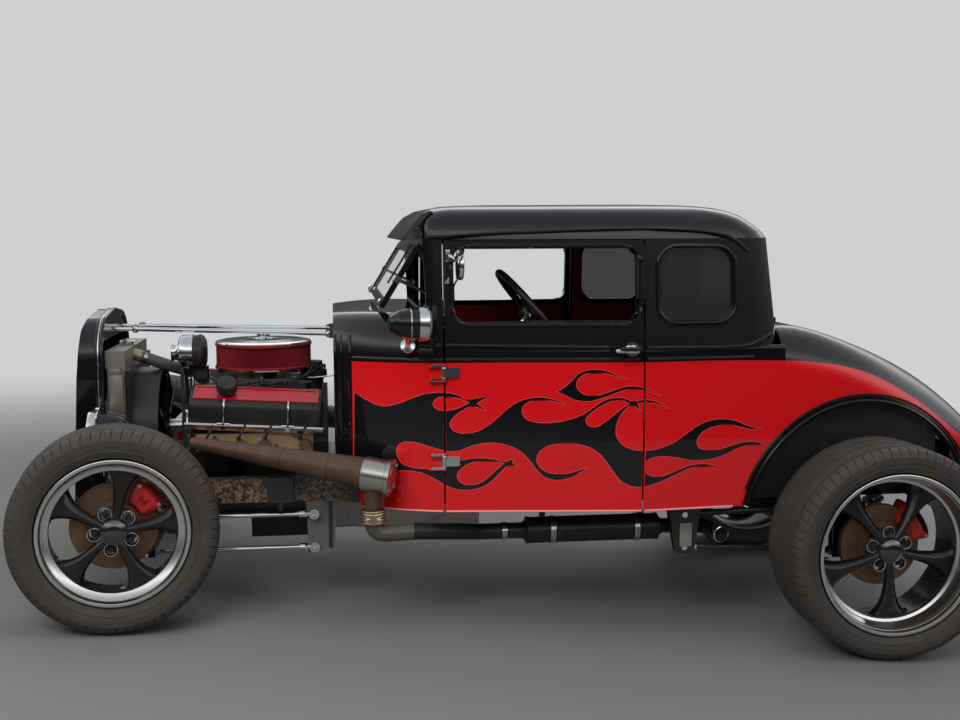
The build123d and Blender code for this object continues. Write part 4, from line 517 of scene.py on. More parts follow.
# Tyres. Low road rubber, dusty from the road, with four grooves round the tread, slits that run
# over each shoulder and thin moulded rings on the walls. They seat on the barrels.
rubber = finish("dusty_rubber", (0.042, 0.037, 0.033), 0.62, 0, ((0.085, 0.07, 0.057), 11, 0.45, 0.45, 0.85,
    260, 0.25))
for corner, place in CORNERS.items():
    R, width, _, _, T, tyre_width = [size / 1000 for size in SIZES[corner[0]]]
    half, wall, seat = tyre_width / 2, T - R, R - 0.0178
    pitches = 64 if corner[0] == "f" else 70
    ring_at = R + wall * 0.3
    outline = [(width / 2 - 0.019, seat), (width / 2 - 0.019, R + 0.0015), (half - 0.012, R + 0.006),
        (half - 0.0105, R + 0.011), (half - 0.0065, R + 0.016), (half - 0.004, ring_at - 0.002),
        (half - 0.0028, ring_at), (half - 0.004, ring_at + 0.002), (half - 0.0012, R + wall * 0.42),
        (half, R + wall * 0.52), (half - 0.001, R + wall * 0.62), (half - 0.0005, R + wall * 0.66),
        (half - 0.0012, R + wall * 0.685), (half - 0.004, T - 0.0235), (half - 0.0075, T - 0.0165),
        (half - 0.0125, T - 0.0105), (half - 0.019, T - 0.0062), (half - 0.027, T - 0.0036),
        (half - 0.037, T - 0.002)]
    slit_rows = range(13, 19)
    groove = 0.0045
    spots = (half - 0.048, half * 0.2)
    for spot in spots:
        outline += [(spot + groove + 0.001, T - 0.0012), (spot + groove, T - 0.007),
            (spot - groove, T - 0.007), (spot - groove - 0.001, T - 0.001)]
    outline = outline + [(-y, r) for y, r in reversed(outline)]
    shape = bmesh.new()
    rows, angles = [], [2 * pi * (n + share) / pitches for n in range(pitches)
        for share in (0.0, 0.03, 0.11, 0.14, 0.57)]
    for row, (y, r) in enumerate(outline):
        level_row = min(row, len(outline) - 1 - row)
        slit = level_row in slit_rows and 0.0055
        slant = 0.016 * (level_row - 13) / 5 if level_row > 12 else 0
        rows.append([shape.verts.new((cos(a + slant) * (r - (slit if n % 5 in (1, 2) else 0)), y - width / 2,
            sin(a + slant) * (r - (slit if n % 5 in (1, 2) else 0)))) for n, a in enumerate(angles)])
    for one, two in zip(rows, rows[1:] + rows[:1]):
        for n in range(len(angles)):
            shape.faces.new((one[n], one[n - 1], two[n - 1], two[n]))
    bmesh.ops.recalc_face_normals(shape, faces=shape.faces[:])
    tyre = piece(f"road_tyre_{corner}", shape, (rubber,), f"wheel_{corner}", place, 28)
    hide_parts(f"tyre_{corner}")

# Engine. A cast iron V8 in satin black under road grime, with an aluminium gearbox, bare and dull,
# bolted behind it.


engine_black = finish("engine_black", (0.013, 0.013, 0.013), 0.36, 0, ((0.045, 0.036, 0.027), 13, 0.45, 0.4,
    0.72, 260, 0.2))
cast_grey = finish("cast_aluminium", (0.4, 0.39, 0.37), 0.42, 0.85, ((0.2, 0.17, 0.14), 17, 0.42, 0.4, 0.68,
    380, 0.25))
paint(engine_black, "engine_block")
paint(cast_grey, "transmission")

# Valve covers. Pressed steel, black at the sides with a framed crimson panel on top, on a polished
# rail, each held by two chrome clamps, with a black push in breather and an oil cap.


def mirrored(side):
    """The car's own place, or its mirror for the right side."""
    return stance @ Matrix.Diagonal((1, side, 1, 1))


def at(s, y, z):
    """A level place, from its station, side and height in millimetres."""
    return Vector((-s / 1000, y / 1000, z / 1000))


def there(s, y, z):
    """The shift to a level place."""
    return Matrix.Translation(at(s, y, z))


def tube(mesh, places, radius, steps=14, fine=6, material=0):
    """A round tube along a smooth way through a run of places."""
    way = []
    for n in range(len(places) - 1):
        a, b, c, d = places[max(n - 1, 0)], places[n], places[n + 1], places[min(n + 2, len(places) - 1)]
        for t in [k / fine for k in range(fine)]:
            way.append(0.5 * (2 * b + (c - a) * t + (2 * a - 5 * b + 4 * c - d) * t ** 2 +
                (3 * b - a - 3 * c + d) * t ** 3))
    way.append(places[-1])
    side, rings = (way[1] - way[0]).orthogonal().normalized(), []
    for n, spot in enumerate(way):
        ahead_of = (way[min(n + 1, len(way) - 1)] - way[max(n - 1, 0)]).normalized()
        side = (side - ahead_of * side.dot(ahead_of)).normalized()
        lifted = ahead_of.cross(side)
        rings.append([spot + (side * cos(2 * pi * k / steps) + lifted * sin(2 * pi * k / steps)) * radius
            for k in range(steps)])
    return loft(mesh, rings, material)


crimson = finish("crimson_panel", (0.3, 0.006, 0.014), 0.3, 0, ((0.16, 0.012, 0.016), 24, 0.4, 0.4, 0.55, 420,
    0.06), Coat_Weight=0.8, Coat_Roughness=0.08)
tilt = (Matrix.Translation((-0.443, 0, 0.713)) @ Matrix.Rotation(radians(-3.6), 4,
    "Y") @ Matrix.Translation((0.443, 0, -0.713)))
for side, name in SIDES:
    shape = bmesh.new()
    wall = ((196, 742), (304, 641), (318, 650), (326, 662), (331, 680), (337, 716), (338, 732), (332, 744),
        (322, 750), (238, 789), (226, 790), (214, 784), (200, 762))
    middle = (268, 716)
    loft(shape, [[at(s, middle[0] + (y - middle[0]) * size, middle[1] + (z - middle[1]) * size) for y,
        z in wall] for s, size in ((214, 0.86), (217, 0.95), (223, 0.99), (232, 1), (654, 1), (663, 0.99),
        (669, 0.95), (672, 0.86))])
    rail = ((306, 638), (330, 645), (341, 654), (343, 663), (339, 669), (330, 668), (310, 655))
    loft(shape, [[at(s, y, z) for y, z in rail] for s in (205, 679)], material=2)
    low, high, top = (248, 785), (322, 750), 4.5
    run = Vector((0, (high[0] - low[0]) / 1000, (high[1] - low[1]) / 1000))
    up = Vector((0, -run.z, run.y)).normalized()
    corner = at(228, *low)
    for a0, a1, b0, b1, thick in ((0, 430, 0, 0.1, top), (0, 430, 0.9, 1.0, top), (0, 8, 0.1, 0.9, top),
            (422, 430, 0.1, 0.9, top), (4, 426, 0.05, 0.95, 1.6)):
        feet = [corner + Vector((-a / 1000, 0, 0)) + run * b for a, b in ((a0, b0), (a1, b0), (a1, b1),
            (a0, b1))]
        loft(shape, [[foot - up * 0.003 for foot in feet], [foot + up * thick / 1000 for foot in feet]],
            material=1)
    lean = Matrix.Rotation(-0.62, 4, "X")
    vent = Matrix.Translation(corner + Vector((-0.112, 0, 0)) + run * 0.42) @ lean
    spun(shape, ((15, -4), (15, 10), (33, 13), (36, 18), (36, 44), (33, 50), (20, 54), (0, 55)),
        vent @ QUARTER["X"], 40, 0)
    cap = Matrix.Translation(corner + Vector((-0.355, 0, 0)) + run * 0.45) @ lean
    if side < 0:
        spun(shape, ((26, -4), (26, 12), (22, 16), (0, 17)), cap @ QUARTER["X"], 32, 3)
    for s in (336, 556):
        tube(shape, [at(s, 340, 656), at(s, 345, 690), at(s, 342, 733), at(s, 330, 752)], 0.0042, 10, 5, 3)
        rod(shape, at(s - 22, 338, 668), at(s + 22, 338, 668), 0.0055, 12, 3)
        rod(shape, at(s, 334, 660), at(s, 344, 656), 0.009, 6, 3)
    shape.transform(tilt)
    cover = piece(f"valve_cover_{name}", shape, (engine_black, crimson, polished, chrome), "chassis",
        mirrored(side))
    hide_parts("valve_covers")

# Carburettor and intake. An aluminium dual plane manifold carries a gold dichromate carburettor
# with its linkage, float bowls and screws, a fuel line, a distributor and black plug leads.


def block(mesh, low, high, material=0, round_by=0.0, place=Matrix()):
    """A box between two corners in millimetres, x forward, its edges rounded where asked."""
    low, high = Vector(low) / 1000, Vector(high) / 1000
    before = set(mesh.faces)
    cube = bmesh.ops.create_cube(mesh, size=1, matrix=Matrix.Translation((low + high) / 2) @
        Matrix.Diagonal((*(high - low), 1)))
    if round_by:
        edges = list({edge for vert in cube["verts"] for edge in vert.link_edges})
        bmesh.ops.bevel(mesh, geom=edges, offset=round_by / 1000, segments=3, affect="EDGES", profile=0.5)
    fresh = [face for face in mesh.faces if face not in before]
    finished(mesh, fresh, place, material)
    return fresh


def folded_place(material):
    """Level coordinates folded about the middle, as station, distance from the middle and height."""
    return node(material, "VectorMath", {0: level_place(material)}, operation="ABSOLUTE").outputs[0]


def within(material, low, high):
    """A mask of one folded box, its corners in millimetres."""
    low, high = Vector(low) / 1000, Vector(high) / 1000
    far = node(material, "VectorMath", {0: folded_place(material), 1: (low + high) / 2}, operation="SUBTRACT")
    far = node(material, "VectorMath", {0: far.outputs[0]}, operation="ABSOLUTE")
    far = node(material, "VectorMath", {0: far.outputs[0], 1: (high - low) / 2}, operation="SUBTRACT")
    axes = node(material, "SeparateXYZ", {0: far.outputs[0]})
    most = node(material, "Math", {0: axes.outputs["X"], 1: axes.outputs["Y"]}, operation="MAXIMUM")
    most = node(material, "Math", {0: most.outputs[0], 1: axes.outputs["Z"]}, operation="MAXIMUM")
    return node(material, "MapRange", {"Value": most.outputs[0], "From Min": 0.0004,
        "From Max": -0.0004}).outputs[0]


gold = finish("dichromate_gold", (0.52, 0.4, 0.19), 0.34, 0.85, ((0.3, 0.26, 0.2), 30, 0.4, 0.4, 0.6, 500,
    0.15))
two_metals = finish("manifold_and_carburettor", (0.33, 0.32, 0.3), 0.42, 0.85)
patched(two_metals, within(two_metals, (366, -1, 759.5), (590, 80, 860)), (0.33, 0.32, 0.3),
    (0.5, 0.38, 0.18), ((0.17, 0.14, 0.1), 20, 0.4, 0.4, 0.66, 420, 0.25))
paint(two_metals, "intake_carburettor")
lead_rubber = finish("black_lead_rubber", (0.018, 0.018, 0.019), 0.45, 0,
    ((0.05, 0.045, 0.04), 24, 0.35, 0.15, 0.7, 300, 0.08))
shape = bmesh.new()
for side in (1, -1):
    for s in (392, 522):
        block(shape, (-(s + 26), side * 58 - 7, 768), (-(s - 26), side * 58 + 7, 800), 0, 4)
        for ds in (-17, 17):
            rod(shape, at(s + ds, side * 64, 776), at(s + ds, side * 69, 776), 0.0045, 6, 1)
    block(shape, (-500, side * 62 - 12, 752), (-416, side * 62 + 12, 764), 0, 3)
    for s in (418, 498):
        rod(shape, at(s, side * 74, 748), at(s, side * 74, 772), 0.006, 6, 1)
rod(shape, at(452, -70, 778), at(452, 86, 778), 0.0042, 12, 1)
block(shape, (-476, 78, 756), (-446, 82, 806), 1, 1.5)
tube(shape, [at(470, 84, 801), at(540, 86, 806), at(640, 80, 800), at(716, 76, 806)], 0.0026, 8, 5, 1)
spun(shape, ((0, -20), (24, -20), (26, -16), (26, 10), (22, 16), (0, 17)), there(478, 80, 820) @ QUARTER["Z"],
    28, 2)
tube(shape, [at(262, 66, 742), at(300, 74, 770), at(348, 66, 790), at(372, 40, 788), at(374, 0, 786)], 0.0048,
    12, 6, 3)
tube(shape, [at(262, -70, 742), at(330, -84, 764), at(390, -78, 770), at(398, -60, 780)], 0.0048, 12, 6, 3)
spun(shape, ((0, 50), (12, 60), (34, 62), (34, 30), (50, 28), (50, 0), (30, -6), (30, -60), (0, -60)),
    there(640, 0, 792) @ QUARTER["X"], 36, 2)
for number in range(8):
    side, row = (1, -1)[number % 2], number // 2
    a = 2 * pi * number / 8
    start = at(640 + 38 * cos(a), 38 * sin(a), 812)
    port_s = 262 + 108 * row
    tube(shape, [start, start + Vector((0, 0, 0.026)), at(618 - 16 * row, side * (100 + 6 * row),
        812 - 4 * row), at(560 - 60 * row, side * (182 - 3 * row), 806), at(port_s + 40, side * 205, 800),
        at(port_s, side * 232, 797)], 0.0042, 8, 5, 2)
for s in (262, 352, 548, 638):
    for y in (116, -116):
        rod(shape, at(s, y, 712), at(s, y, 724), 0.008, 6, 1)
piece("carburettor_fittings", shape, (gold, polished, lead_rubber, chrome), "chassis")

# Air cleaner. A pleated red cotton ring between moulded rims, under a domed chrome lid and a wing
# nut, over a chrome base.
cotton = finish("oiled_red_cotton", (0.17, 0.01, 0.013), 0.72, 0, ((0.09, 0.012, 0.012), 20, 0.4, 0.15, 0.9,
    700, 0.3))
shape = bmesh.new()
hub = there(458, 0, 0) @ QUARTER["X"]
pleats = 132
loft(shape, [[at(458, 0, 0) + Vector(((0.1735 if k % 2 else 0.1655) * cos(pi * k / pleats),
    (0.1735 if k % 2 else 0.1655) * sin(pi * k / pleats), z)) for k in range(2 * pleats)]
    for z in (0.845, 0.9195)], capped=False)
for z in (840.5, 921.5):
    spun(shape, ((150, z - 5), (174, z - 5), (177.5, z - 2), (177.5, z + 3), (174, z + 6), (150, z + 6)), hub,
        96, 0)
spun(shape, ((52, 822), (90, 829), (160, 832), (177.5, 834), (178, 838), (150, 840)), hub, 96, 1)
spun(shape, ((150, 926.5), (174, 927.5), (176, 930), (174, 933), (164, 934.5), (156, 937), (148, 936),
    (138, 936.2), (90, 939.5), (40, 940), (30, 937), (0, 936.5)), hub, 96, 1)
rod(shape, at(458, 0, 934), at(458, 0, 957), 0.005, 12, 1)
spun(shape, ((0, 937), (13, 937), (13, 945), (10, 949), (0, 950)), hub, 24, 1)
for side in (1, -1):
    loft(shape, [[at(458 + side * s, y * t, z) for y, t, z in ((-4, 1, 940 + s * 0.45),
        (4, 1, 940 + s * 0.45), (4, 1, 948 + s * 0.75), (-4, 1, 948 + s * 0.75))] for s in (6, 16, 24)],
        material=1)
cleaner = piece("air_cleaner_with_pleats", shape, (cotton, chrome), "chassis")
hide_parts("air_cleaner")

# Front drive. Chrome timing cover, pulleys and a finned chrome alternator on its bracket, turned
# by one black belt, with a black water pump and a polished dipstick that ends in a ring.
ALTERNATOR = (112, 905)
shape = bmesh.new()


def wheel_on(s, y, z):
    """The place of a thing that turns about a lengthwise axle, its front end up the axis."""
    return there(s, y, z) @ Matrix.Rotation(-pi / 2, 4, "Z")


for radius, y, z, thick in ((82, 0, 380, 30), (70, 0, 620, 30)):
    spun(shape, ((0, thick / 2 - 4), (radius * 0.3, thick / 2 - 4), (radius * 0.36, thick / 2 - 10),
        (radius * 0.8, thick / 2 - 10), (radius * 0.86, thick / 2), (radius, thick / 2), (radius - 10, 2),
        (radius - 10, -2), (radius, -thick / 2), (0, -thick / 2)), wheel_on(175, y, z), 56, 0)
    for k in range(5):
        rod(shape, at(166, y + 20 * cos(k * 1.2566), z + 20 * sin(k * 1.2566)),
            at(158, y + 20 * cos(k * 1.2566), z + 20 * sin(k * 1.2566)), 0.0055, 6, 1)
rod(shape, at(150, 0, 380), at(214, 0, 380), 0.03, 28, 1)
rod(shape, at(111, 0, 620), at(160, 0, 620), 0.024, 28, 1)
rod(shape, at(160, 0, 620), at(214, 0, 620), 0.044, 28, 2)
loft(shape, [[at(s, y * size, 450 + (z - 450) * size) for y, z in ((-92, 332), (92, 332), (104, 400),
    (108, 540), (64, 560), (-64, 560), (-108, 540), (-104, 400))] for s,
    size in ((214, 1), (201, 1), (197, 0.95))])
loft(shape, [[at(s, y, z) for y, z in ((-62, 560), (62, 560), (96, 600), (88, 684), (-88, 684), (-96, 600))]
    for s in (214, 196)], material=2)
spun(shape, ((0, 52), (20, 52), (20, 47), (50, 46), (58, 42), (62, 34), (62, 6), (63.5, 5), (63.5, -3),
    (62, -4), (0, -4)), wheel_on(212, *ALTERNATOR), 56, 0)
spun(shape, ((0, 0), (60.5, 0), (60.5, -22), (63.5, -23), (63.5, -30), (58, -40), (46, -48), (0, -50)),
    wheel_on(212, *ALTERNATOR), 56, 2)
for number, first, s0, r0, s1, r1, radius, steps, index in ((18, 0, 175, 55, 172, 36, 0.0022, 6, 2),
        (18, 0, 246, 57, 257, 42, 0.0026, 6, 2), (4, pi / 4, 170, 56, 248, 56, 0.0045, 8, 1)):
    for a in [first + 2 * pi * k / number for k in range(number)]:
        y, z = ALTERNATOR
        rod(shape, at(s0, y + r0 * cos(a), z + r0 * sin(a)), at(s1, y + r1 * cos(a), z + r1 * sin(a)), radius,
            steps, index)
spun(shape, ((0, 14), (14, 14), (20, 11), (36, 12), (29, 2), (29, -2), (36, -12), (0, -12)),
    wheel_on(150, *ALTERNATOR), 40, 0)
loft(shape, [[at(s, y, z) for y, z in ((60, 664), (100, 664), (172, 905), (140, 936), (98, 884))]
    for s in (212, 203)])
loft(shape, [[at(s, y, z) for y, z in ((46, 731), (98, 731), (118, 850), (60, 850))] for s in (262, 244)],
    material=2)
loft(shape, [[at(s, y, z) for y, z in ((62, 806), (118, 806), (118, 850), (62, 850))] for s in (262, 210)],
    material=2)
outer = []
for y, z, r, first, last in ((0, 380, 76.5, -pi + 0.02, 0.13), (*ALTERNATOR, 33, 0.13, 2.72),
        (0, 620, 64, 2.72, 3.12)):
    outer += [(y + r * cos(first + (last - first) * k / 14), z + r * sin(first + (last - first) * k / 14),
        first + (last - first) * k / 14) for k in range(15)]
loft(shape, [[at(175 + ds, y + cos(a) * rise, z + sin(a) * rise) for ds,
    rise in ((-7, 5), (7, 5), (4.5, -5), (-4.5, -5))] for y, z, a in outer + outer[:1]], material=3,
    capped=False)
tube(shape, [at(226, 150, 470), at(206, 172, 560), at(200, 176, 660), at(210, 160, 742), at(214, 150, 800)],
    0.0045, 10, 6, 1)
tube(shape, [at(214, 150, 800), at(212, 146, 816), at(206, 132, 822), at(204, 124, 814), at(208, 124, 800)],
    0.0028, 8, 5, 1)
drive = piece("front_drive_dressed", shape, (chrome, polished, engine_black, lead_rubber), "chassis")
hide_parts("front_drive")
paint(satin_black, "fan")
paint(engine_black, "fan_shroud")

# Headers. Mild steel baked brown by heat, on tan scaled flanges, each cone closed by a stainless
# sleeve and a bolted cap, with a flanged stub and brass coloured clamps down to the pipe.
baked = finish("baked_header_steel", (0.105, 0.066, 0.047), 0.5, 0.55)
patched(baked, within(baked, (200, 290, 560), (646, 342, 660)), (0.115, 0.07, 0.05), (0.4, 0.27, 0.155),
    ((0.235, 0.145, 0.092), 13, 0.44, 0.35, 0.72, 240, 0.35))
paint(baked, "headers")
stainless = finish("stainless_steel", (0.6, 0.57, 0.52), 0.24, 1.0, ((0.36, 0.29, 0.21), 18, 0.45, 0.4, 0.46,
    380, 0.08))
brass = finish("clamp_brass", (0.5, 0.37, 0.2), 0.34, 0.9, ((0.24, 0.17, 0.1), 30, 0.4, 0.15, 0.6, 380, 0.12))
way = (at(838, 584, 534) - at(242, 398, 622)).normalized()
cone_turn = aimed(way)
for side, name in SIDES:
    shape = bmesh.new()
    end = there(838, 584, 534) @ cone_turn
    spun(shape, ((52.5, -30), (56.2, -28), (57.5, -22), (57.5, 50), (56, 51.5), (50, 51.5)), end, 56, 0)
    spun(shape, ((50, 51.2), (60, 51.2), (63, 53), (63.8, 60), (62.8, 66.8), (59, 69), (44, 69), (42, 67.2),
        (40, 69.2), (0, 69.8)), end, 56, 0)
    for k in range(4):
        spot = end @ Matrix.Rotation(pi / 4 + k * pi / 2, 4, "Y")
        rod(shape, spot @ Vector((0.051, 0.069, 0)), spot @ Vector((0.051, 0.0745, 0)), 0.006, 6, 0)
    start = at(242, 398, 622)
    for share, radius in ((0.245, 29), (0.5, 37.7), (0.76, 46.6)):
        seam = Matrix.Translation(start + way * 0.6305 * share) @ cone_turn
        spun(shape, ((radius - 1, -3), (radius + 1.2, -1.5), (radius + 1.2, 1.5), (radius - 1, 3)), seam, 40,
            2)
    for k, z in enumerate((0.374, 0.383, 0.393, 0.402, 0.411)):
        spun(shape, ((36, -4), (41.8, -4), (43.2, -1.5), (43.2, 1.5), (41.8, 4), (36, 4)),
            there(838, 580, z * 1000) @ QUARTER["X"], 40, 1 if k % 2 == 0 else 0)
    block(shape, (-850, 620, 380), (-826, 632, 404), 1, 3)
    rod(shape, at(814, 627, 392), at(862, 627, 392), 0.0042, 8, 0)
    for s in (240, 300, 352, 431, 512, 574, 634):
        z = 626 if s in (300, 574) else 590
        rod(shape, at(s, 309, z), at(s, 318, z), 0.0075, 6, 0)
    for s in (262, 392, 470, 612):
        spun(shape, ((18, 0), (26, 0), (26, 2), (21.5, 6), (19.5, 8)), there(s, 311, 600), 28, 2)
    for s in (300, 410, 500, 620):
        tube(shape, [at(s, 322, 672), at(s - 4, 352, 668), at(s - 12, 372, 650), at(s - 22, 360, 628),
            at(s - 26, 336, 622)], 0.0036, 8, 5, 3)
        rod(shape, at(s - 25, 344, 624), at(s - 28, 318, 618), 0.0085, 10, 3)
    piece(f"header_fittings_{name}", shape, (stainless, brass, baked, lead_rubber), "chassis",
        mirrored(side))

# Exhaust. Black painted pipe, bare and blued at the elbow, with a muffler under each sill, crimped
# end plates, strap clamps and rolled tips that turn out ahead of the rear wheels.
pipe_black = finish("black_pipe", (0.02, 0.02, 0.021), 0.36, 0.35)
patched(pipe_black, within(pipe_black, (780, 480, 240), (975, 640, 420)), (0.02, 0.02, 0.021),
    (0.105, 0.095, 0.085), ((0.085, 0.06, 0.045), 11, 0.38, 0.4, 0.62, 260, 0.2))
paint(pipe_black, "exhausts")
for side, name in SIDES:
    shape = bmesh.new()
    for s, flip in ((1376, 1), (1850, -1)):
        spun(shape, ((30, -12), (34, -4), (44, 0), (47.8, 2), (47.8, 10), (45.5, 12)),
            there(s, 432, 288) @ Matrix.Rotation(pi / 2 * flip, 4, "Z"), 44, 0)
    for s, radius in ((1300, 28.3), (1470, 46.3), (1770, 46.3), (1900, 26.3)):
        spun(shape, ((radius - 1, -9), (radius + 2.2, -9), (radius + 2.2, 9), (radius - 1, 9)),
            there(s, 432, 288) @ QUARTER["Z"], 40, 1)
        rod(shape, at(s, 433 + radius, 296), at(s, 433 + radius, 276), 0.005, 6, 1)
    spun(shape, ((26.2, -30), (29, -28), (29.5, -4), (28.5, 1), (26.2, 2), (24, -2), (23.8, -28)),
        there(2044, 566, 284) @ aimed(at(2044, 566, 284) - at(2030, 505, 286)), 40, 2)
    piece(f"exhaust_fittings_{name}", shape, (pipe_black, stainless, chrome), "chassis",
        mirrored(side))

# Cooling. A bare aluminium radiator with side plates dulled tan, flat tubes and fins, a chrome cap,
# and a moulded grey hose with two screw clamps.
core_metal = finish("radiator_aluminium", (0.44, 0.41, 0.36), 0.36, 0.85,
    ((0.27, 0.21, 0.145), 9, 0.5, 0.35, 0.62, 300, 0.15))
paint(core_metal, "radiator")
hose_rubber = finish("hose_rubber", (0.05, 0.047, 0.042), 0.4, 0, ((0.105, 0.095, 0.08), 14, 0.45, 0.5, 0.66,
    260, 0.12))
paint(hose_rubber, "upper_hose")
shape = bmesh.new()
for side in (1, -1):
    for z0, z1 in ((512, 560), (566, 700), (706, 840), (846, 862)):
        block(shape, (12, side * 251.5 - 1.5, z0), (60, side * 251.5 + 1.5, z1), 0, 1)
for k in range(47):
    y = 10 * k - 230
    block(shape, (66, y - 1.2, 500), (67.2, y + 1.2, 860), 1)
spun(shape, ((0, 927), (20, 927), (20, 934), (30, 934), (31.5, 938), (30, 941), (18, 943), (14, 947),
    (0, 948)), there(-34, 0, 0) @ QUARTER["X"], 36, 2)
for spot, ahead_of in ((at(36, 40, 878.3), at(100, 40, 854.7) - at(20, 40, 884)),
        (at(238, 0, 790.2), at(250, 0, 782) - at(196, 0, 819))):
    ring = Matrix.Translation(spot) @ aimed(ahead_of)
    spun(shape, ((21.5, -6), (23.4, -6), (23.4, 6), (21.5, 6)), ring, 40, 3)
    block(shape, (-8, -6, 22.5), (8, 6, 31.5), 3, 1.5, ring)
    rod(shape, ring @ Vector((0.006, 0, 0.0275)), ring @ Vector((0.014, 0, 0.0275)), 0.0035, 6, 3)
tube(shape, [at(30, -180, 470), at(60, -150, 440), at(110, -110, 430), at(170, -86, 470), at(206, -84, 560)],
    0.021, 18, 7, 4)
tube(shape, [at(-30, 236, 870), at(-10, 262, 840), at(-8, 268, 700), at(-10, 262, 560), at(-20, 250, 500)],
    0.0042, 10, 6, 4)
piece("cooling_fittings", shape, (core_metal, stainless, chrome, stainless, hose_rubber), "chassis")

# Radiator shell and grille. A gloss black pressed shell with a rolled bead and a fine bright edge
# along its rear lip, over chrome vertical bars, and chrome rods braced back to the cowl.
for name in ("grille", "support_rods"):
    paint(chrome, name)


def round_the(node_name, s, middle, angles, reach=0.9):
    """Places where rays towards a level middle meet a node, in the plane of one station."""
    found = []
    for a in angles:
        start = stance @ at(s, middle[0] + 1000 * reach * cos(a), middle[1] + 1000 * reach * sin(a))
        hit = skin_of(node_name).ray_cast(start, (stance @ at(s, *middle) - start).normalized())[0]
        if hit:
            found.append(stance.inverted() @ hit)
    return found


shape = bmesh.new()
run = [-0.72 + k * (pi + 1.44) / 60 for k in range(61)]
for s, radius, steps, index in ((-80, 0.0055, 10, 0), (-90, 0.0026, 8, 1), (-98, 0.004, 10, 0)):
    tube(shape, round_the("radiator_shell", s, (0, 700), run), radius, steps, 3, index)
for side in (1, -1):
    for z in (520, 640, 760, 880):
        edge = round_the("radiator_shell", -84, (0, z), (0 if side > 0 else pi,))[0]
        rod(shape, edge - Vector((0, side * 0.004, 0)), edge + Vector((0, side * 0.004, 0)), 0.006, 6, 1)
    for s, y, z in ((8, 78, 988), (700, 130, 966)):
        spun(shape, ((0, 12), (5, 11), (8, 6), (10, 0), (10, -6), (0, -6)),
            Matrix.Translation(at(s, side * (y + 12), z)) @ Matrix.Diagonal((1, side, 1, 1)), 20, 1)
piece("shell_trim", shape, (black_paint, chrome), "chassis")

# Headlamps. Black bullet buckets with a deep chrome rim, a fluted lens and a chrome base nut, on a bar
# between the frame horns, each with its black lead.


def relief(material, height, strength):
    """Raises a material's surface by a pattern."""
    raised = node(material, "Bump", {"Height": height, "Strength": strength, "Distance": 0.002})
    material.node_tree.links.new(raised.outputs[0], material.node_tree.nodes["Principled BSDF"].inputs[
        "Normal"])


lens = finish("fluted_lens", (0.62, 0.65, 0.67), 0.1, 0.35, Coat_Weight=1.0, Coat_Roughness=0.02)
flute = node(lens, "TexWave", {"Vector": node(lens, "TexCoord").outputs["Object"], "Scale": 22},
    bands_direction="Y")
relief(lens, flute.outputs[0], 0.4)
shape = bmesh.new()
for side in (1, -1):
    face = wheel_on(-105, side * 368, 652)
    spun(shape, ((87.2, -30), (89.5, -28), (90, -20), (88.5, -6), (85, 0.5), (80, 3), (76, 2)), face, 72, 0)
    spun(shape, ((79, -1), (77, 2.2), (60, 8.5), (40, 12.5), (20, 14.5), (0, 15)), face, 60, 1)
    rod(shape, at(-74, side * 368, 742), at(-86, side * 368, 742), 0.006, 8, 0)
    spun(shape, ((26, -12), (26, 4), (16, 12), (0, 14)), there(-48, side * 368,
        570) @ Matrix.Rotation(-pi / 2, 4, "X"), 28, 0)
    tube(shape, [at(20, side * 368, 642), at(24, side * 362, 610), at(10, side * 340, 560),
        at(4, side * 322, 500)], 0.0045, 10, 6, 2)
piece("headlamp_rims", shape, (chrome, lens, lead_rubber), "chassis")

# Frame. Welded box rails in worn black, the front run pitted and rusty from stones, with black
# brackets, a steering box and a painted driveshaft.
rail_paint = finish("rail_paint", (0.016, 0.015, 0.014), 0.42, Coat_Weight=0.2)
place = folded_place(rail_paint)
pits = node(rail_paint, "TexNoise", {"Vector": node(rail_paint, "TexCoord").outputs["Object"], "Scale": 95,
    "Detail": 5, "Roughness": 0.7})
pits = node(rail_paint, "MapRange", {"Value": pits.outputs[0], "From Min": 0.47, "From Max": 0.55})
pitted = node(rail_paint, "MapRange", {"Value": node(rail_paint, "SeparateXYZ", {0: place}).outputs["X"],
    "From Min": 0.82, "From Max": 0.7})
pitted = node(rail_paint, "Math", {0: pitted.outputs[0], 1: pits.outputs[0]}, operation="MULTIPLY")
patched(rail_paint, pitted.outputs[0], (0.022, 0.019, 0.017), (0.2, 0.135, 0.095),
    ((0.06, 0.043, 0.032), 12, 0.3, 0.4, 0.75, 320, 0.35))
chassis_black = finish("chassis_black", (0.016, 0.016, 0.016), 0.32, 0, ((0.06, 0.047, 0.036), 11, 0.32, 0.4,
    0.7, 300, 0.15), Coat_Weight=0.3)
paint(rail_paint, "frame_rails")
for name in ("front_axle", "front_spring_shocks", "rear_links", "steering_box", "driveshaft", "tie_rod",
        "floor_pan", "wheel_tubs", "plate_bracket"):
    paint(chassis_black, name)

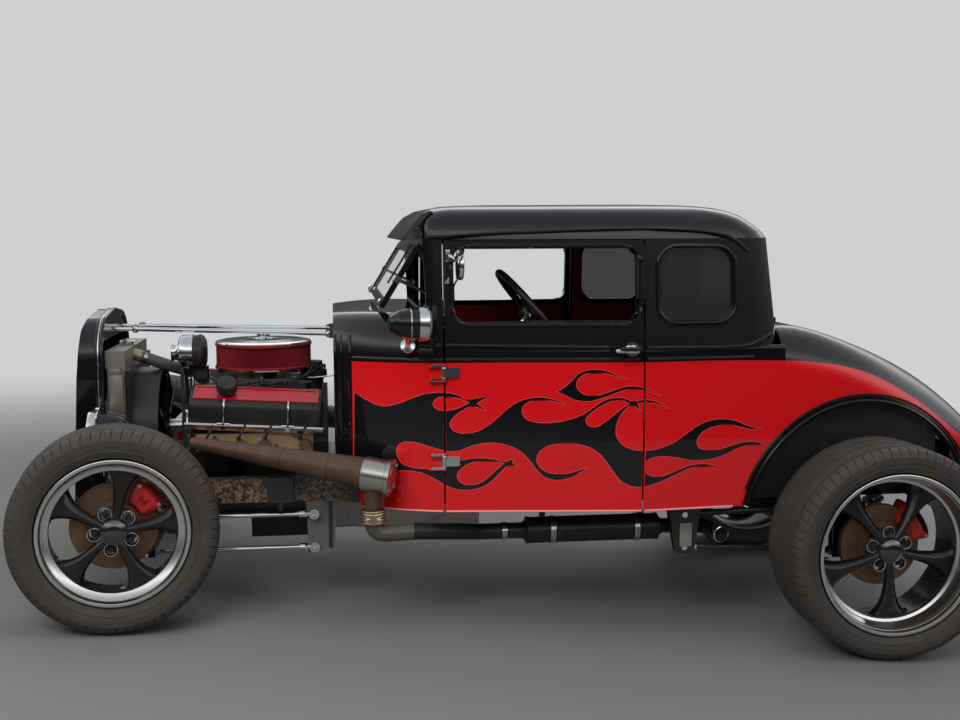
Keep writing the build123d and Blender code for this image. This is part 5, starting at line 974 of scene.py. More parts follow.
# Four bars. Chrome rods with threaded ends and hexagon bolts through black brackets.
bar_metal = finish("bars_and_brackets", (0.8, 0.81, 0.83), 0.08, 1.0)
bracket_zone = within(bar_metal, (600, 300, 180), (760, 340.3, 420))
for socket, plain, other in (("Base Color", (0.8, 0.81, 0.83, 1), (0.016, 0.016, 0.016, 1)),
        ("Metallic", (1, 1, 1, 1), (0, 0, 0, 1)), ("Roughness", (0.08,) * 3 + (1,), (0.4,) * 3 + (1,))):
    swap = node(bar_metal, "Mix", {"Factor": bracket_zone, "A": plain, "B": other}, data_type="RGBA")
    bar_metal.node_tree.links.new(swap.outputs["Result"], bar_metal.node_tree.nodes["Principled BSDF"].inputs[
        socket])
paint(bar_metal, "front_four_bars")
shape = bmesh.new()
for side in (1, -1):
    for z in (353, 235):
        for s, inward in ((52, 1), (640, -1)):
            for y0, y1, radius, steps in ((363.5, 371, 0.0105, 6), (371, 374, 0.006, 12)):
                rod(shape, at(s, side * y0, z), at(s, side * y1, z), radius, steps, 0)
            spun(shape, ((12, 0), (17.5, 0), (18.5, 3), (17.5, 6), (12, 6)),
                there(s, side * 363, z) @ Matrix.Diagonal((1, side, 1, 1)), 28, 0)
            for near, far, radius, steps in ((24, 34, 0.013, 6), (34, 52, 0.0125, 20)):
                rod(shape, at(s + inward * near, side * 352, z), at(s + inward * far, side * 352, z), radius,
                    steps, 0)
    block(shape, (-700, side * 330 - 3, 228), (-690, side * 330 + 22, 392), 1, 1)
piece("four_bar_ends", shape, (chrome, chassis_black), "chassis")

# Front spring and shocks. A pack of black leaves in black clips, with two chrome plates for a shackle
# at each end and chrome U bolts in the middle, and chrome tube shocks with rubber bushes.
shape = bmesh.new()
for side in (1, -1):
    for y in (150, 260):
        block(shape, (26, side * y - 14, 352), (78, side * y + 14, 356 + 42 - y / 11), 1, 2)
    for s in (-77, -27):
        block(shape, (-(s + 3), side * 318 - 11, 286), (-(s - 3), side * 318 + 11, 366), 0, 3)
        for z in (296, 356):
            rod(shape, at(s - 3, side * 318, z), at(s + 3, side * 318, z), 0.009, 6, 0)
    low, high = at(56, side * 400, 370), at(40, side * 348, 518)
    rod(shape, low, low.lerp(high, 0.62), 0.0245, 28, 0)
    spun(shape, ((22.5, -2), (28, 0), (28, 6), (22.5, 10)), Matrix.Translation(low.lerp(high, 0.62)) @
        aimed(high - low), 32, 1)
    for s, radius, steps, index in ((30, 0.012, 18, 2), (26, 0.008, 6, 0)):
        rod(shape, at(s, side * 400, 361), at(112 - s, side * 400, 361), radius, steps, index)
for y in (-42, 42):
    tube(shape, [at(-78, y, 362), at(-78, y, 420), at(-76, y, 438), at(-52, y, 446), at(-28, y, 438),
        at(-26, y, 420), at(-26, y, 362)], 0.0058, 10, 5, 0)
piece("front_spring_fittings", shape, (chrome, chassis_black, lead_rubber), "chassis")

# Brakes. Red painted calipers that bridge each disc, each with three round piston caps and two
# steel pins, beside bare cast knuckles in front and a black axle behind.
caliper_red = finish("caliper_red", (0.42, 0.014, 0.014), 0.34, 0, ((0.2, 0.03, 0.022), 26, 0.42, 0.4, 0.7,
    320, 0.15))
bracket_metal = finish("knuckle_and_caliper", (0.2, 0.19, 0.18), 0.45, 0.7)
patched(bracket_metal, within(bracket_metal, (58, 594, 460), (146, 720, 520)), (0.2, 0.19, 0.18),
    (0.42, 0.014, 0.014), ((0.1, 0.075, 0.055), 20, 0.4, 0.4, 0.7, 320, 0.2))
for name in ("knuckle_left", "knuckle_right"):
    paint(bracket_metal, name)
paint(chassis_black, "rear_axle")
for corner, body, outer, spread, deep in (("fl", "knuckle_left", 0.169, (22, 62), 0.134),
        ("fr", "knuckle_right", 0.169, (22, 62), 0.134), ("rl", "chassis", 0.172, (8, 63), 0.174),
        ("rr", "chassis", 0.172, (8, 63), 0.174)):
    shape = bmesh.new()
    inner = 0.09
    face = -deep + 0.047
    for bottom, top, r0, r1 in ((-deep + 0.0255, face, inner, outer), (-deep - 0.0215, -deep - 0.004, inner,
            outer), (-deep - 0.0215, face, 0.1455, outer)):
        rings = []
        for k in range(13):
            a = radians(spread[0] + (spread[1] - spread[0]) * k / 12)
            pinch = 0.01 if k in (0, 12) else (0.004 if k in (1, 11) else 0)
            rings.append([Vector((-cos(a) * r, y, sin(a) * r)) for r, y in ((r0 + pinch, bottom),
                (r1 - pinch, bottom), (r1 - pinch * 0.4, top - 0.008), (r1 - 0.008 - pinch,
                top - pinch * 0.3), (r0 + 0.006 + pinch, top - pinch * 0.3), (r0 + pinch, top - 0.006))])
        loft(shape, rings)
    for angles, far, below, proud, radius, steps, index in (((spread[0] + 12, (spread[0] + spread[1]) / 2,
            spread[1] - 12), 0.122, 0.002, 0.0035, 0.0165, 28, 0), ((spread[0] + 4, spread[1] - 4), 0.155,
            0.004, 0.005, 0.0065, 6, 1)):
        for a in map(radians, angles):
            rod(shape, *[(-cos(a) * far, face + y, sin(a) * far) for y in (-below, proud)], radius, steps,
                index)
    piece(f"brake_caliper_{corner}", shape, (caliper_red, stainless), body, CORNERS[corner])

# Rear suspension. Silver coil-overs with open wound springs between threaded collars, on a black
# beam across the frame, over a black live axle on two pairs of links.
silver = finish("silver_spring", (0.52, 0.53, 0.54), 0.3, 0.75, ((0.26, 0.22, 0.18), 20, 0.35, 0.4, 0.6, 300,
    0.1))
shape = bmesh.new()
block(shape, (-2599, -512, 684), (-2561, 512, 704), 1, 2)
for side in (1, -1):
    block(shape, (-2594, side * 380 - 18, 574.3), (-2566, side * 380 + 18, 686), 1, 1)
    low, high = at(2655, side * 492, 215), at(2580, side * 492, 690)
    spring = Matrix.Translation(low) @ aimed(high - low)
    length = (high - low).length
    rod(shape, low.lerp(high, 0.06), low.lerp(high, 0.46), 0.0245, 28, 0)
    rod(shape, low.lerp(high, 0.4), low.lerp(high, 0.985), 0.0115, 20, 2)
    for k in range(9):
        spun(shape, ((24, -2), (26.2, 0), (24, 2)), spring @ Matrix.Translation(
            (0, length * (0.2 + 0.015 * k), 0)), 28, 0)
    for share in (0.335, 0.905):
        spun(shape, ((10, -6), (36, -6), (38, -4), (38, 4), (36, 6), (10, 6)),
            spring @ Matrix.Translation((0, length * share, 0)), 36, 2)
    turns, coil = 8, 0.0315
    tube(shape, [spring @ Vector((coil * cos(pi * k / 10), length * (0.352 + 0.538 * k / (turns * 20)),
        coil * sin(pi * k / 10))) for k in range(turns * 20 + 1)], 0.0062, 10, 1, 0)
    block(shape, (-2669, side * 492 - 17, 199), (-2641, side * 492 + 17, 261), 1, 2)
    for s, z in ((2655, 215), (2580, 690)):
        rod(shape, at(s, side * 492 - 24, z), at(s, side * 492 + 24, z), 0.0075, 6, 2)
coils = piece("coil_overs", shape, (silver, chassis_black, stainless), "chassis")
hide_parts("rear_coilovers")
shape = bmesh.new()
for side in (1, -1):
    for s, z in ((1925, 348), (1925, 232), (2495, 353), (2495, 195)):
        for y in (528, 482):
            rod(shape, at(s, side * y - 3, z), at(s, side * y + 3, z), 0.011, 6, 0)
    for z0, z1 in ((348, 353), (232, 195)):
        for s in (1960, 2455):
            z = z0 + (z1 - z0) * (s - 1925) / 570
            rod(shape, at(s, side * 505, z), at(s + 12, side * 505, z), 0.0145, 6, 0)
    block(shape, (-1950, side * 530.5 - 2.5, 236), (-1906, side * 530.5 + 2.5, 318), 1, 1)
    tube(shape, [at(2080, side * 470, 380), at(2130, side * 486, 372), at(2200, side * 500, 344),
        at(2290, side * 500, 318), at(2420, side * 480, 300), at(2530, side * 470, 300)], 0.0032, 8, 6, 1)
rod(shape, at(2420, 0, 264), at(2436, 0, 264), 0.062, 32, 2)
for y, z in [(95.12 * cos(pi * k / 5), 265 + 95.12 * sin(pi * k / 5)) for k in range(10)]:
    rod(shape, at(2706, y, z), at(2714, y, z), 0.007, 6, 1)
for s, z in ((1553, 328), (2415, 267)):
    for a in (0.0, pi / 2):
        rod(shape, at(s, 34 * cos(a), z), at(s, -34 * cos(a), z), 0.012, 14, 2)
piece("rear_link_fittings", shape, (chrome, stainless, chassis_black), "chassis")

# Body trim. Rolled beads in the same black paint run along the belt, round each window, down the
# cowl's ledge and round the wheel arches, as they are pressed into the real panels. A fine pale pink
# bead along the sill is a painted highlight: the light caught on the red body's lower edge.


def bead(mesh, node_name, places, side, radius, sink=0.35, material=0, fine=2):
    """A round bead laid along a panel's skin, through a run of stations and heights."""
    dense = []
    for (s0, z0), (s1, z1) in zip(places, places[1:]):
        count = max(1, int(((s1 - s0) ** 2 + (z1 - z0) ** 2) ** 0.5 / 28))
        dense += [(s0 + (s1 - s0) * k / count, z0 + (z1 - z0) * k / count) for k in range(count)]
    dense.append(places[-1])
    tube(mesh, [on_skin(node_name, s / 1000, z / 1000, side, radius * (1 - 2 * sink)) for s, z in dense],
        radius, 10, fine, material)


def rounded(s0, s1, z0, z1, corner, steps=7):
    """A rounded rectangle of stations and heights, run round once."""
    spots = []
    for cs, cz, start in ((s1 - corner, z1 - corner, 0), (s0 + corner, z1 - corner, pi / 2),
            (s0 + corner, z0 + corner, pi), (s1 - corner, z0 + corner, 1.5 * pi)):
        spots += [(cs + corner * cos(start + pi / 2 * k / steps), cz + corner * sin(
            start + pi / 2 * k / steps)) for k in range(steps + 1)]
    return spots + spots[:1]


BELT_HIGH = ((777, 962), (1077, 962), (1744, 951), (1990, 947), (2094, 950), (2140, 964), (2190, 986))
ARCH = (2536, 318)
BELT_LOW = ((777, 912), (1077, 915), (1744, 914), (2120, 912))
# Pale pink for the sill bead: a painted highlight, standing in for the lit lower edge of the red body.
sill_highlight_paint = finish("painted_sill_highlight", (0.8, 0.3, 0.3), 0.25, 0, ((0.55, 0.16, 0.16), 30, 0.3, 0.15, 0.4, 400, 0.02))


def between(line, s0, s1):
    """The part of a run that lies between two stations, with its ends on them."""
    def height(s):
        for (a, za), (b, zb) in zip(line, line[1:]):
            if a <= s <= b:
                return za + (zb - za) * (s - a) / (b - a)
    ends = [s for s in (s0, s1) if line[0][0] <= s <= line[-1][0]]
    inner = [(s, z) for s, z in line if s0 < s < s1]
    return sorted([(s, height(s)) for s in ends] + inner)


for side, name in SIDES:
    for panel, body, s0, s1 in (("cowl", "chassis", 780, 1074), (f"door_{name}", f"door_{name}", 1084, 1736),
            ("rear_body", "chassis", 1746, 2190)):
        shape = bmesh.new()
        for line, radius in ((BELT_HIGH, 0.0075), (BELT_LOW, 0.0055)):
            run = between(line, s0 if radius < 0.007 or s0 > 800 else 1000, s1)
            bead(shape, panel, run, side, radius)
        # The sill bead takes the pale pink painted highlight, not a pinstripe.
        bead(shape, panel, [(845 if panel == "cowl" else s0, 399), (min(s1, 2060), 399)], side, 0.0032, 0.3,
            1)
        if panel == "cowl":
            for s, radius in ((722, 0.005), (742, 0.0035), (771, 0.0055)):
                bead(shape, panel, [(s, 480), (s, 640), (s, 800), (s, 940), (s, 985)], side, radius)
        if panel.startswith("door"):
            bead(shape, panel, rounded(1106, 1728, 1028, 1288, 66), side, 0.007, 0.3)
            bead(shape, panel, rounded(1115, 1719, 1037, 1279, 58), side, 0.0028, 0.3)
        if panel == "rear_body":
            bead(shape, panel, rounded(1785, 2057, 1029, 1287, 66), side, 0.007, 0.3)
            arch = [(ARCH[0] + 428 * cos(a), ARCH[1] + 428 * sin(a)) for a in [radians(12 + 4 * k)
                for k in range(40)]]
            tube(shape, [on_skin("rear_body", s / 1000, z / 1000, side, -0.001) for s, z in arch], 0.0075, 10,
                2, 0)
            bead(shape, panel, [(ARCH[0] + 452 * cos(a), ARCH[1] + 452 * sin(a))
                for a in [radians(14 + 4 * k) for k in range(38)]], side, 0.004)
        piece(f"beads_{panel if panel.startswith('door') else panel + '_' + name}", shape,
            (black_paint, sill_highlight_paint), body, Matrix())

# Door furniture. Chrome lever handles on round plates, barrel hinges with turned ends, and a round
# mirror clamped at the front of the window, each held to its door.
bright = 0
for low, high in (((1034, 597.4, 548), (1129, 640, 602)), ((1034, 597.4, 845), (1129, 640, 899)),
        ((1628, 673.6, 915), (1757, 760, 978)), ((1070, 571, 1165), (1145, 760, 1292))):
    bright = node(two_tone, "Math", {0: bright, 1: within(two_tone, low, high)},
        operation="MAXIMUM").outputs[0]
shader = two_tone.node_tree.nodes["Principled BSDF"]
for socket, metal in (("Base Color", (0.84, 0.85, 0.87, 1)), ("Metallic", (1, 1, 1, 1))):
    plain = shader.inputs[socket].links[0].from_socket if shader.inputs[socket].links else (0, 0, 0, 1)
    swap = node(two_tone, "Mix", {"Factor": bright, "A": plain, "B": metal}, data_type="RGBA")
    two_tone.node_tree.links.new(swap.outputs["Result"], shader.inputs[socket])
mirror_glass = finish("mirror_glass", (0.92, 0.94, 0.95), 0.02, 1.0, Coat_Weight=1)
for side, name in SIDES:
    shape = bmesh.new()
    for z in (575, 872):
        for end in (-1, 1):
            spun(shape, ((0, 6), (3, 5.5), (5.5, 3), (7.5, -1), (7.5, -3), (0, -3)),
                there(1076, 604, z + 17 * end) @ Matrix.Rotation(pi / 2 * end, 4, "X"), 20, 0)
        for s in (1100, 1118):
            rod(shape, at(s, 602, z + 6), at(s, 605.5, z + 6), 0.0035, 10, 0)
    rod(shape, at(1694, 676, 947), at(1694, 681, 947), 0.024, 36, 0)
    loft(shape, [[at(s, 706 + (u * 1.5), 947 + v - (1694 - s) * 0.02) for u,
        v in ((-r, 0), (-r * 0.7, r * 0.8), (0, r * 1.1), (r * 0.7, r * 0.8), (r, 0), (r * 0.7, -r * 0.8),
        (0, -r * 1.1), (-r * 0.7, -r * 0.8))] for s, r in ((1632, 4.5), (1636, 7.0), (1650, 8.2), (1676, 8.6),
        (1694, 10.5), (1704, 11.0), (1712, 8.0), (1714, 5.0))])
    rod(shape, at(1694, 680, 947), at(1694, 704, 947), 0.0115, 20, 0)
    spun(shape, ((0, -10), (30, -9.5), (44, -7), (47.5, -2), (48, 3), (47, 7.5), (44.5, 9.8), (43, 9.8)),
        there(1122, 686, 1228) @ QUARTER["Z"], 48, 0)
    spun(shape, ((43.5, 10), (42, 11.2), (0, 11.4)), there(1122, 686, 1228) @ QUARTER["Z"], 48, 1)
    block(shape, (-1104, 554, 1236), (-1086, 572, 1276), 0, 3)
    rod(shape, at(1094, 640, 1256), at(1094, 652, 1256), 0.01, 16, 0)
    rod(shape, at(1094, 648, 1256), at(1122, 686, 1240), 0.0072, 16, 0)
    piece(f"door_furniture_{name}", shape, (chrome, mirror_glass), f"door_{name}", mirrored(side))

# Windshield. A black frame swung out on its top hinge, on chrome arms with knurled knobs, with one
# wiper, under a visor with a rolled lip.
paint(black_paint, "windshield_frame")
glass = finish("window_glass", (0.82, 0.88, 0.86), 0.02, Transmission_Weight=0.0, IOR=1.5, Alpha=0.16)
tinted = finish("tinted_glass", (0.015, 0.018, 0.018), 0.03, Alpha=0.72, Coat_Weight=1.0)
paint(glass, "windshield_glass")
paint(tinted, "rear_glass")
shape = bmesh.new()
for side in (1, -1):
    for spot in (at(934, side * 510, 1176), at(1046, side * 510, 1121)):
        rod(shape, spot - Vector((0, side * 0.01, 0)), spot + Vector((0, side * 0.014, 0)), 0.0125, 18, 0)
    tube(shape, [at(934, side * 500, 1176), at(990, side * 500, 1150), at(1046, side * 500, 1121)], 0.0062,
        12, 3, 0)
    tube(shape, [at(872, side * 505, 1080), at(868, side * 505, 1098), at(876, side * 505, 1112)], 0.005, 10,
        3, 0)
tube(shape, [at(952, y, 1311) for y in range(-534, 535, 89)], 0.006, 12, 2, 1)
tube(shape, [at(992, 300, 1290), at(950, 262, 1216), at(912, 226, 1152)], 0.0036, 8, 4, 1)
block(shape, (-938, 140, 1150), (-933, 310, 1160), 2)
piece("windshield_fittings", shape, (chrome, black_paint, lead_rubber), "chassis")

# Cowl lamp. A black bullet bucket with two polished bands and a fluted lens, on a chrome stalk.
shape = bmesh.new()
face = there(1026, 656, 1041) @ QUARTER["Z"]
spun(shape, ((56, -34), (59.2, -32), (60, -24), (59.2, -8), (56, -1), (50, 1.2), (47, 0.6)), face, 56, 0)
spun(shape, ((48.5, -1), (40, 5.5), (20, 9.5), (0, 10.5)), face, 48, 1)
spun(shape, ((50, -62), (53.5, -60.5), (53.5, -57.5), (50, -56)), face, 48, 0)
tube(shape, [at(960, 652, 1012), at(960, 636, 996), at(960, 600, 974), at(960, 560, 952)], 0.0105, 16, 5, 0)
spun(shape, ((10, -1), (26, -1), (24, 5), (14, 10), (10, 12)), there(960, 574,
    960) @ aimed(at(960, 636, 996) - at(960, 574, 960)), 28, 0)
piece("cowl_lamp_trim", shape, (chrome, lens), "chassis")

# Tail. Round red lenses in chrome bezels with a faint painted glow, as if the lamps were lit, a blank
# plate in a chrome frame with a small lamp, a chrome lid handle, black lid hinges and black plates that
# close the cab's shoulders at the deck.
# The lenses give off a faint red light of their own: a painted glow, as if the lamps were lit.
red_lens_painted_glow = finish("red_lens_painted_glow", (0.45, 0.004, 0.004), 0.1, Coat_Weight=1.0, Emission_Strength=0.15,
    Emission_Color=(0.6, 0.01, 0.01, 1))
rings = node(red_lens_painted_glow, "TexNoise", {"Vector": node(red_lens_painted_glow, "TexCoord").outputs["Object"], "Scale": 320})
relief(red_lens_painted_glow, rings.outputs[0], 0.25)
paint(red_lens_painted_glow, "tail_lamps")
blank_plate = finish("blank_plate", (0.66, 0.66, 0.63), 0.42, 0.1, ((0.45, 0.43, 0.39), 16, 0.3, 0.15, 0.6,
    300, 0.05))
shape = bmesh.new()
for side in (1, -1):
    lamp = there(3106, side * 430, 470) @ QUARTER["Z"]
    spun(shape, ((47.5, -30), (54, -28), (56, -20), (54, -6), (50, 1.5), (44, 2)), lamp, 56, 0)
    spun(shape, ((44.5, 0.5), (38, 8.5), (20, 10), (0, 10.4)), lamp, 48, 1)
plate = stance.inverted() @ Matrix.Translation(stance @ at(3044.5, 0, 330))
for y0, y1, z0, z1 in ((-152.5, 152.5, -76, -70), (-152.5, 152.5, 70, 76), (-152.5, -146.5, -70, 70),
        (146.5, 152.5, -70, 70)):
    block(shape, (-4.5, y0, z0), (1.5, y1, z1), 0, 1, plate)
block(shape, (-1, -146, -70), (1.5, 146, 70), 2, 0.4, plate)
for y in (-88.9, 88.9):
    rod(shape, plate @ at(0, y, 58), plate @ at(6, y, 58), 0.006, 6, 0)
rod(shape, at(3030, -22, 418), at(3030, 22, 418), 0.014, 20, 0)
for y in (-300, 300):
    block(shape, (-2318, y - 19, 974.5), (-2262.5, y + 19, 1019.5), 3, 3)
for side in (1, -1):
    shoulder = [(512 + 118.5 * cos(radians(a)), 882 + 118.5 * sin(radians(a))) for a in range(22, 91, 4)]
    loft(shape, [[at(s, side * y, z) for y, z in shoulder + [(490, 1000.5), (490, 926)]]
        for s in (2229.5, 2238)], 3)
piece("tail_trim", shape, (chrome, red_lens_painted_glow, blank_plate, black_paint), "chassis")
shape = bmesh.new()
lid_at = [stance.inverted() @ hit for hit in (skin_of("deck_lid").ray_cast(stance @ at(2850, y, 1300),
    (stance.to_3x3() @ Vector((0, 0, -1))))[0] for y in (-46, 46)) if hit]
for spot in lid_at:
    rod(shape, spot + Vector((0.0, 0, -0.004)), spot + Vector((-0.016, 0, 0.026)), 0.008, 16, 0)
    spun(shape, ((0, 1), (18, 1), (16, 5), (10, 7), (0, 7)), Matrix.Translation(spot) @
        aimed(Vector((-0.55, 0, 0.83))), 24, 0)
right, left = [spot + Vector((-0.016, 0, 0.026)) for spot in lid_at]
tube(shape, [right + Vector((0, -0.018, -0.001)), right, right.lerp(left, 0.5) + Vector((-0.003, 0, 0.004)),
    left, left + Vector((0, 0.018, -0.001))], 0.0085, 16, 5, 0)
piece("lid_handle", shape, (chrome,), "deck_lid")

# Roof. One chopped steel pressing in gloss black, its crown rolled evenly into the sides, with a
# drip moulding over each door and a steep visor across the front, lined with dark red cloth.
lining = finish("headliner_cloth", (0.085, 0.01, 0.012), 0.9, 0, ((0.05, 0.008, 0.009), 14, 0.4, 0.15, 0.95,
    900, 0.4))


def rounded_turns(points, radii, steps=8):
    """A closed plan outline whose turns are replaced by arcs of given radii."""
    spots = []
    for n, (x, y) in enumerate(points):
        here, last, ahead_of = Vector((x, y)), Vector(points[n - 1]), Vector(points[(n + 1) % len(points)])
        if not radii[n]:
            spots.append(here)
            continue
        u, v = (last - here).normalized(), (ahead_of - here).normalized()
        half = u.angle(v) / 2
        reach = radii[n] / (sin(half) / cos(half))
        start, end = here + u * reach, here + v * reach
        centre = here + (u + v).normalized() * radii[n] / sin(half)
        a, b = start - centre, end - centre
        sweep = a.angle(b)
        spots += [centre + (a * sin(sweep * (1 - k / steps)) + b * sin(sweep * k / steps)) / sin(sweep)
            for k in range(steps + 1)]
    return spots


def roof_ring(z, front, rear, grow, corner, nose, inset=0):
    """One level outline of the roof, with the widths of the cab under it."""
    a, b, c = 590 - grow - inset, 672 - grow - inset, 632 - grow - inset
    front, rear = front + inset, rear - inset
    a -= (1080 - min(front, 1080)) * 0.1
    waist = 1744 if rear > 1800 else (front + rear) / 2
    points = [(front, a), (waist, b), (rear, c), (rear, -c), (waist, -b), (front, -a)]
    radii = [nose, 0, corner - inset * 0.5, corner - inset * 0.5, 0, nose]
    return [at(s, y, z) for s, y in rounded_turns(points, radii)]


RINGS = ((1309, 1014, 2202, 34, 120, 36), (1332, 1014, 2186, 38, 124, 38), (1353, 1016, 2162, 44, 130, 42),
    (1373, 1018, 2137, 55, 136, 50), (1389, 1023, 2112, 70, 142, 60), (1402, 1032, 2080, 90, 148, 72),
    (1412, 1050, 2044, 122, 152, 86), (1419, 1086, 2000, 172, 150, 100), (1423, 1140, 1948, 240, 132, 104),
    (1426, 1226, 1852, 330, 96, 84), (1427, 1330, 1752, 430, 60, 56))
shape = bmesh.new()
outer_rows = [[shape.verts.new(spot) for spot in roof_ring(*ring)] for ring in RINGS]
inner_rows = [[shape.verts.new(spot) for spot in roof_ring(z - (2 if n == 0 else 24), f, r, g, c, e, 26)]
    for n, (z, f, r, g, c, e) in enumerate(RINGS[:-1])]
for rows, index in ((outer_rows, 0), (inner_rows, 1)):
    for one, two in zip(rows, rows[1:]):
        for n in range(len(one)):
            shape.faces.new((one[n - 1], one[n], two[n], two[n - 1])).material_index = index
    shape.faces.new(rows[-1]).material_index = index
for n in range(len(outer_rows[0])):
    shape.faces.new((outer_rows[0][n - 1], inner_rows[0][n - 1], inner_rows[0][n],
        outer_rows[0][n])).material_index = 0
bmesh.ops.recalc_face_normals(shape, faces=shape.faces[:])
visor = ((947, 1307), (947, 1313), (983, 1358), (1010, 1388), (1040, 1404), (1052, 1402), (1030, 1384),
    (1016, 1368), (992, 1350), (960, 1309), (953, 1306))
loft(shape, [[at(s, y * (1 - (z - 1307) / 1450), z) for s, z in visor] for y in (-537, -534, -400, 0, 400,
    534, 537)])
roof = piece("roof_with_visor", shape, (black_paint, lining), "chassis", stance, 50)
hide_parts("roof_panel")
shape = bmesh.new()
DRIP = ((1030, 1316), (1104, 1320), (1240, 1328), (1378, 1333), (1560, 1339), (1775, 1341), (1923, 1334),
    (2015, 1320), (2050, 1306), (2076, 1290), (2099, 1269))
for side in (1, -1):
    places = [on_skin("roof_panel" if z > 1313 else "rear_body", s / 1000, z / 1000, side, 0.0035) for s,
        z in DRIP]
    tube(shape, places, 0.0062, 10, 6, 0)
    tube(shape, [spot + Vector((0, side * 0.006, 0.002)) for spot in places], 0.003, 8, 6, 0)
piece("drip_mouldings", shape, (black_paint,), "chassis", Matrix())

# Door cards and quarter trim. Red vinyl over board, rolled and pleated below the sill, held by
# chrome strips, with an arm rest, a crank and a pull on each door.
red_vinyl = finish("red_vinyl", (0.27, 0.008, 0.012), 0.38, 0, ((0.17, 0.009, 0.012), 10, 0.4, 0.5, 0.55, 700,
    0.25), Coat_Weight=0.25)
black_vinyl = finish("black_vinyl", (0.012, 0.012, 0.012), 0.42, 0, ((0.035, 0.032, 0.03), 10, 0.35, 0.5, 0.6,
    700, 0.25))


def on_lining(node_name, s, z, side, lift):
    """The place on a panel's inner surface, seen from the middle of the cabin."""
    hit = skin_of(node_name).ray_cast(stance @ at(s, 0, z), Vector((0, side, 0)))[0]
    return hit and hit - Vector((0, side * lift, 0))


def trim_sheet(mesh, node_name, side, s0, s1, z0, z1, pleats=0, across_steps=None):
    """A trim panel laid on a lining, pleated upright in its lower part."""
    count_s, count_z = across_steps or max(2, int((s1 - s0) / 9)), max(2, int((z1 - z0) / 26))
    grid = []
    for i in range(count_s + 1):
        s, column = s0 + (s1 - s0) * i / count_s, []
        for j in range(count_z + 1):
            z = z0 + (z1 - z0) * j / count_z
            edge = min(s - s0, s1 - s, z - z0, z1 - z)
            rise = 0.0035 + min(edge, 14) / 14 * 0.004
            if pleats and z0 + 40 < z < pleats and edge > 20:
                rise += 0.0045 * abs(cos(pi * (s - s0) / 46))
            spot = on_lining(node_name, s, z, side, rise)
            column.append(spot and mesh.verts.new(spot))
        grid.append(column)
    fresh = []
    for one, two in zip(grid, grid[1:]):
        for j in range(count_z):
            corners = (one[j], two[j], two[j + 1], one[j + 1])
            if all(corners) and max((a.co - b.co).length for a in corners for b in corners) < 0.08:
                fresh.append(mesh.faces.new(corners))
    bmesh.ops.recalc_face_normals(mesh, faces=fresh)
    if sum(face.normal.y * face.calc_area() for face in fresh) * side > 0:
        bmesh.ops.reverse_faces(mesh, faces=fresh)


for side, name in SIDES:
    shape = bmesh.new()
    trim_sheet(shape, f"door_{name}", side, 1100, 1700, 520, 1018, 860)
    for z in (548, 862, 930):
        tube(shape, [on_lining(f"door_{name}", s, z, side, 0.011) for s in range(1112, 1690, 48)], 0.004, 8,
            3, 1)
    low = [on_lining(f"door_{name}", s, 800, side, 0.004) for s in (1330, 1480, 1620)]
    tube(shape, [low[0] + Vector((0, 0, -0.006))] + [spot - Vector((0, side * 0.05, 0)) for spot in low] +
        [low[2] + Vector((0, 0, -0.006))], 0.024, 16, 6, 2)
    crank = on_lining(f"door_{name}", 1240, 800, side, 0.01)
    rod(shape, crank, crank - Vector((0, side * 0.016, 0)), 0.018, 24, 1)
    rod(shape, crank - Vector((0, side * 0.014, 0)), crank + Vector((0.06, -side * 0.02, 0.052)), 0.006, 10,
        1)
    rod(shape, crank + Vector((0.06, -side * 0.018, 0.052)), crank + Vector((0.06, -side * 0.05, 0.052)),
        0.009, 16, 3)
    pull = on_lining(f"door_{name}", 1640, 872, side, 0.01)
    rod(shape, pull, pull - Vector((0, side * 0.02, 0)), 0.01, 16, 1)
    rod(shape, pull - Vector((0, side * 0.018, 0)), pull + Vector((0.07, -side * 0.02, -0.006)), 0.0065, 12,
        1, 0.0045)
    piece(f"door_card_{name}", shape, (red_vinyl, chrome, red_vinyl, black_vinyl), f"door_{name}",
        Matrix())
    shape = bmesh.new()
    for sheet in ((1752, 2120, 520, 1022, 860), (1752, 1792, 1022, 1296, 0, 4),
            (2050, 2150, 1022, 1296, 0, 8), (1790, 2052, 1281, 1300)):
        trim_sheet(shape, "rear_body", side, *sheet)
    piece(f"quarter_trim_{name}", shape, (red_vinyl, chrome), "chassis", Matrix())

# Seat. A stuffed bench in black vinyl, pleated fore and aft, with red piping along its edges.
shape = bmesh.new()
cushion = ((1556, 553), (1541, 600), (1538, 640), (1550, 672), (1578, 690), (1640, 689), (1720, 682),
    (1800, 675), (1880, 668), (1950, 661), (1978, 640), (1990, 590), (1988, 553), (1880, 548), (1760, 545),
    (1640, 548))
backrest = ((1962, 664), (1970, 700), (1984, 780), (2000, 870), (2015, 960), (2028, 1030), (2046, 1052),
    (2072, 1060), (2098, 1052), (2110, 1036), (2108, 960), (2103, 860), (2098, 760), (2093, 672), (2050, 662),
    (2000, 661))
ends = ((-505, 0.9, 0), (-500, 0.965, 0), (-488, 1.0, 0.2))
across_y = (list(ends) + [(-480 + 960 * k / 40, 1.0, abs(sin(pi * k / 4)) ** 0.6) for k in range(41)] +
    [(-y, size, puff) for y, size, puff in reversed(ends)])
for outline, upper in ((cushion, lambda s, z: z > 655), (backrest, lambda s, z: s < 2032 and z > 680)):
    cs, cz = sum(s for s, _ in outline) / 16, sum(z for _, z in outline) / 16
    rings = []
    for y, size, puff in across_y:
        sunk = 11 * (1 - puff)
        rings.append([at(cs + (s - cs) * size + (sunk if upper(s, z) and outline is backrest else 0), y,
            cz + (z - cz) * size - (sunk if upper(s, z) and outline is cushion else 0)) for s, z in outline])
    loft(shape, rings)
bench = piece("bench_seat", shape, (black_vinyl,), "chassis", stance, 80)
smooth = bench.modifiers.new("round", "SUBSURF")
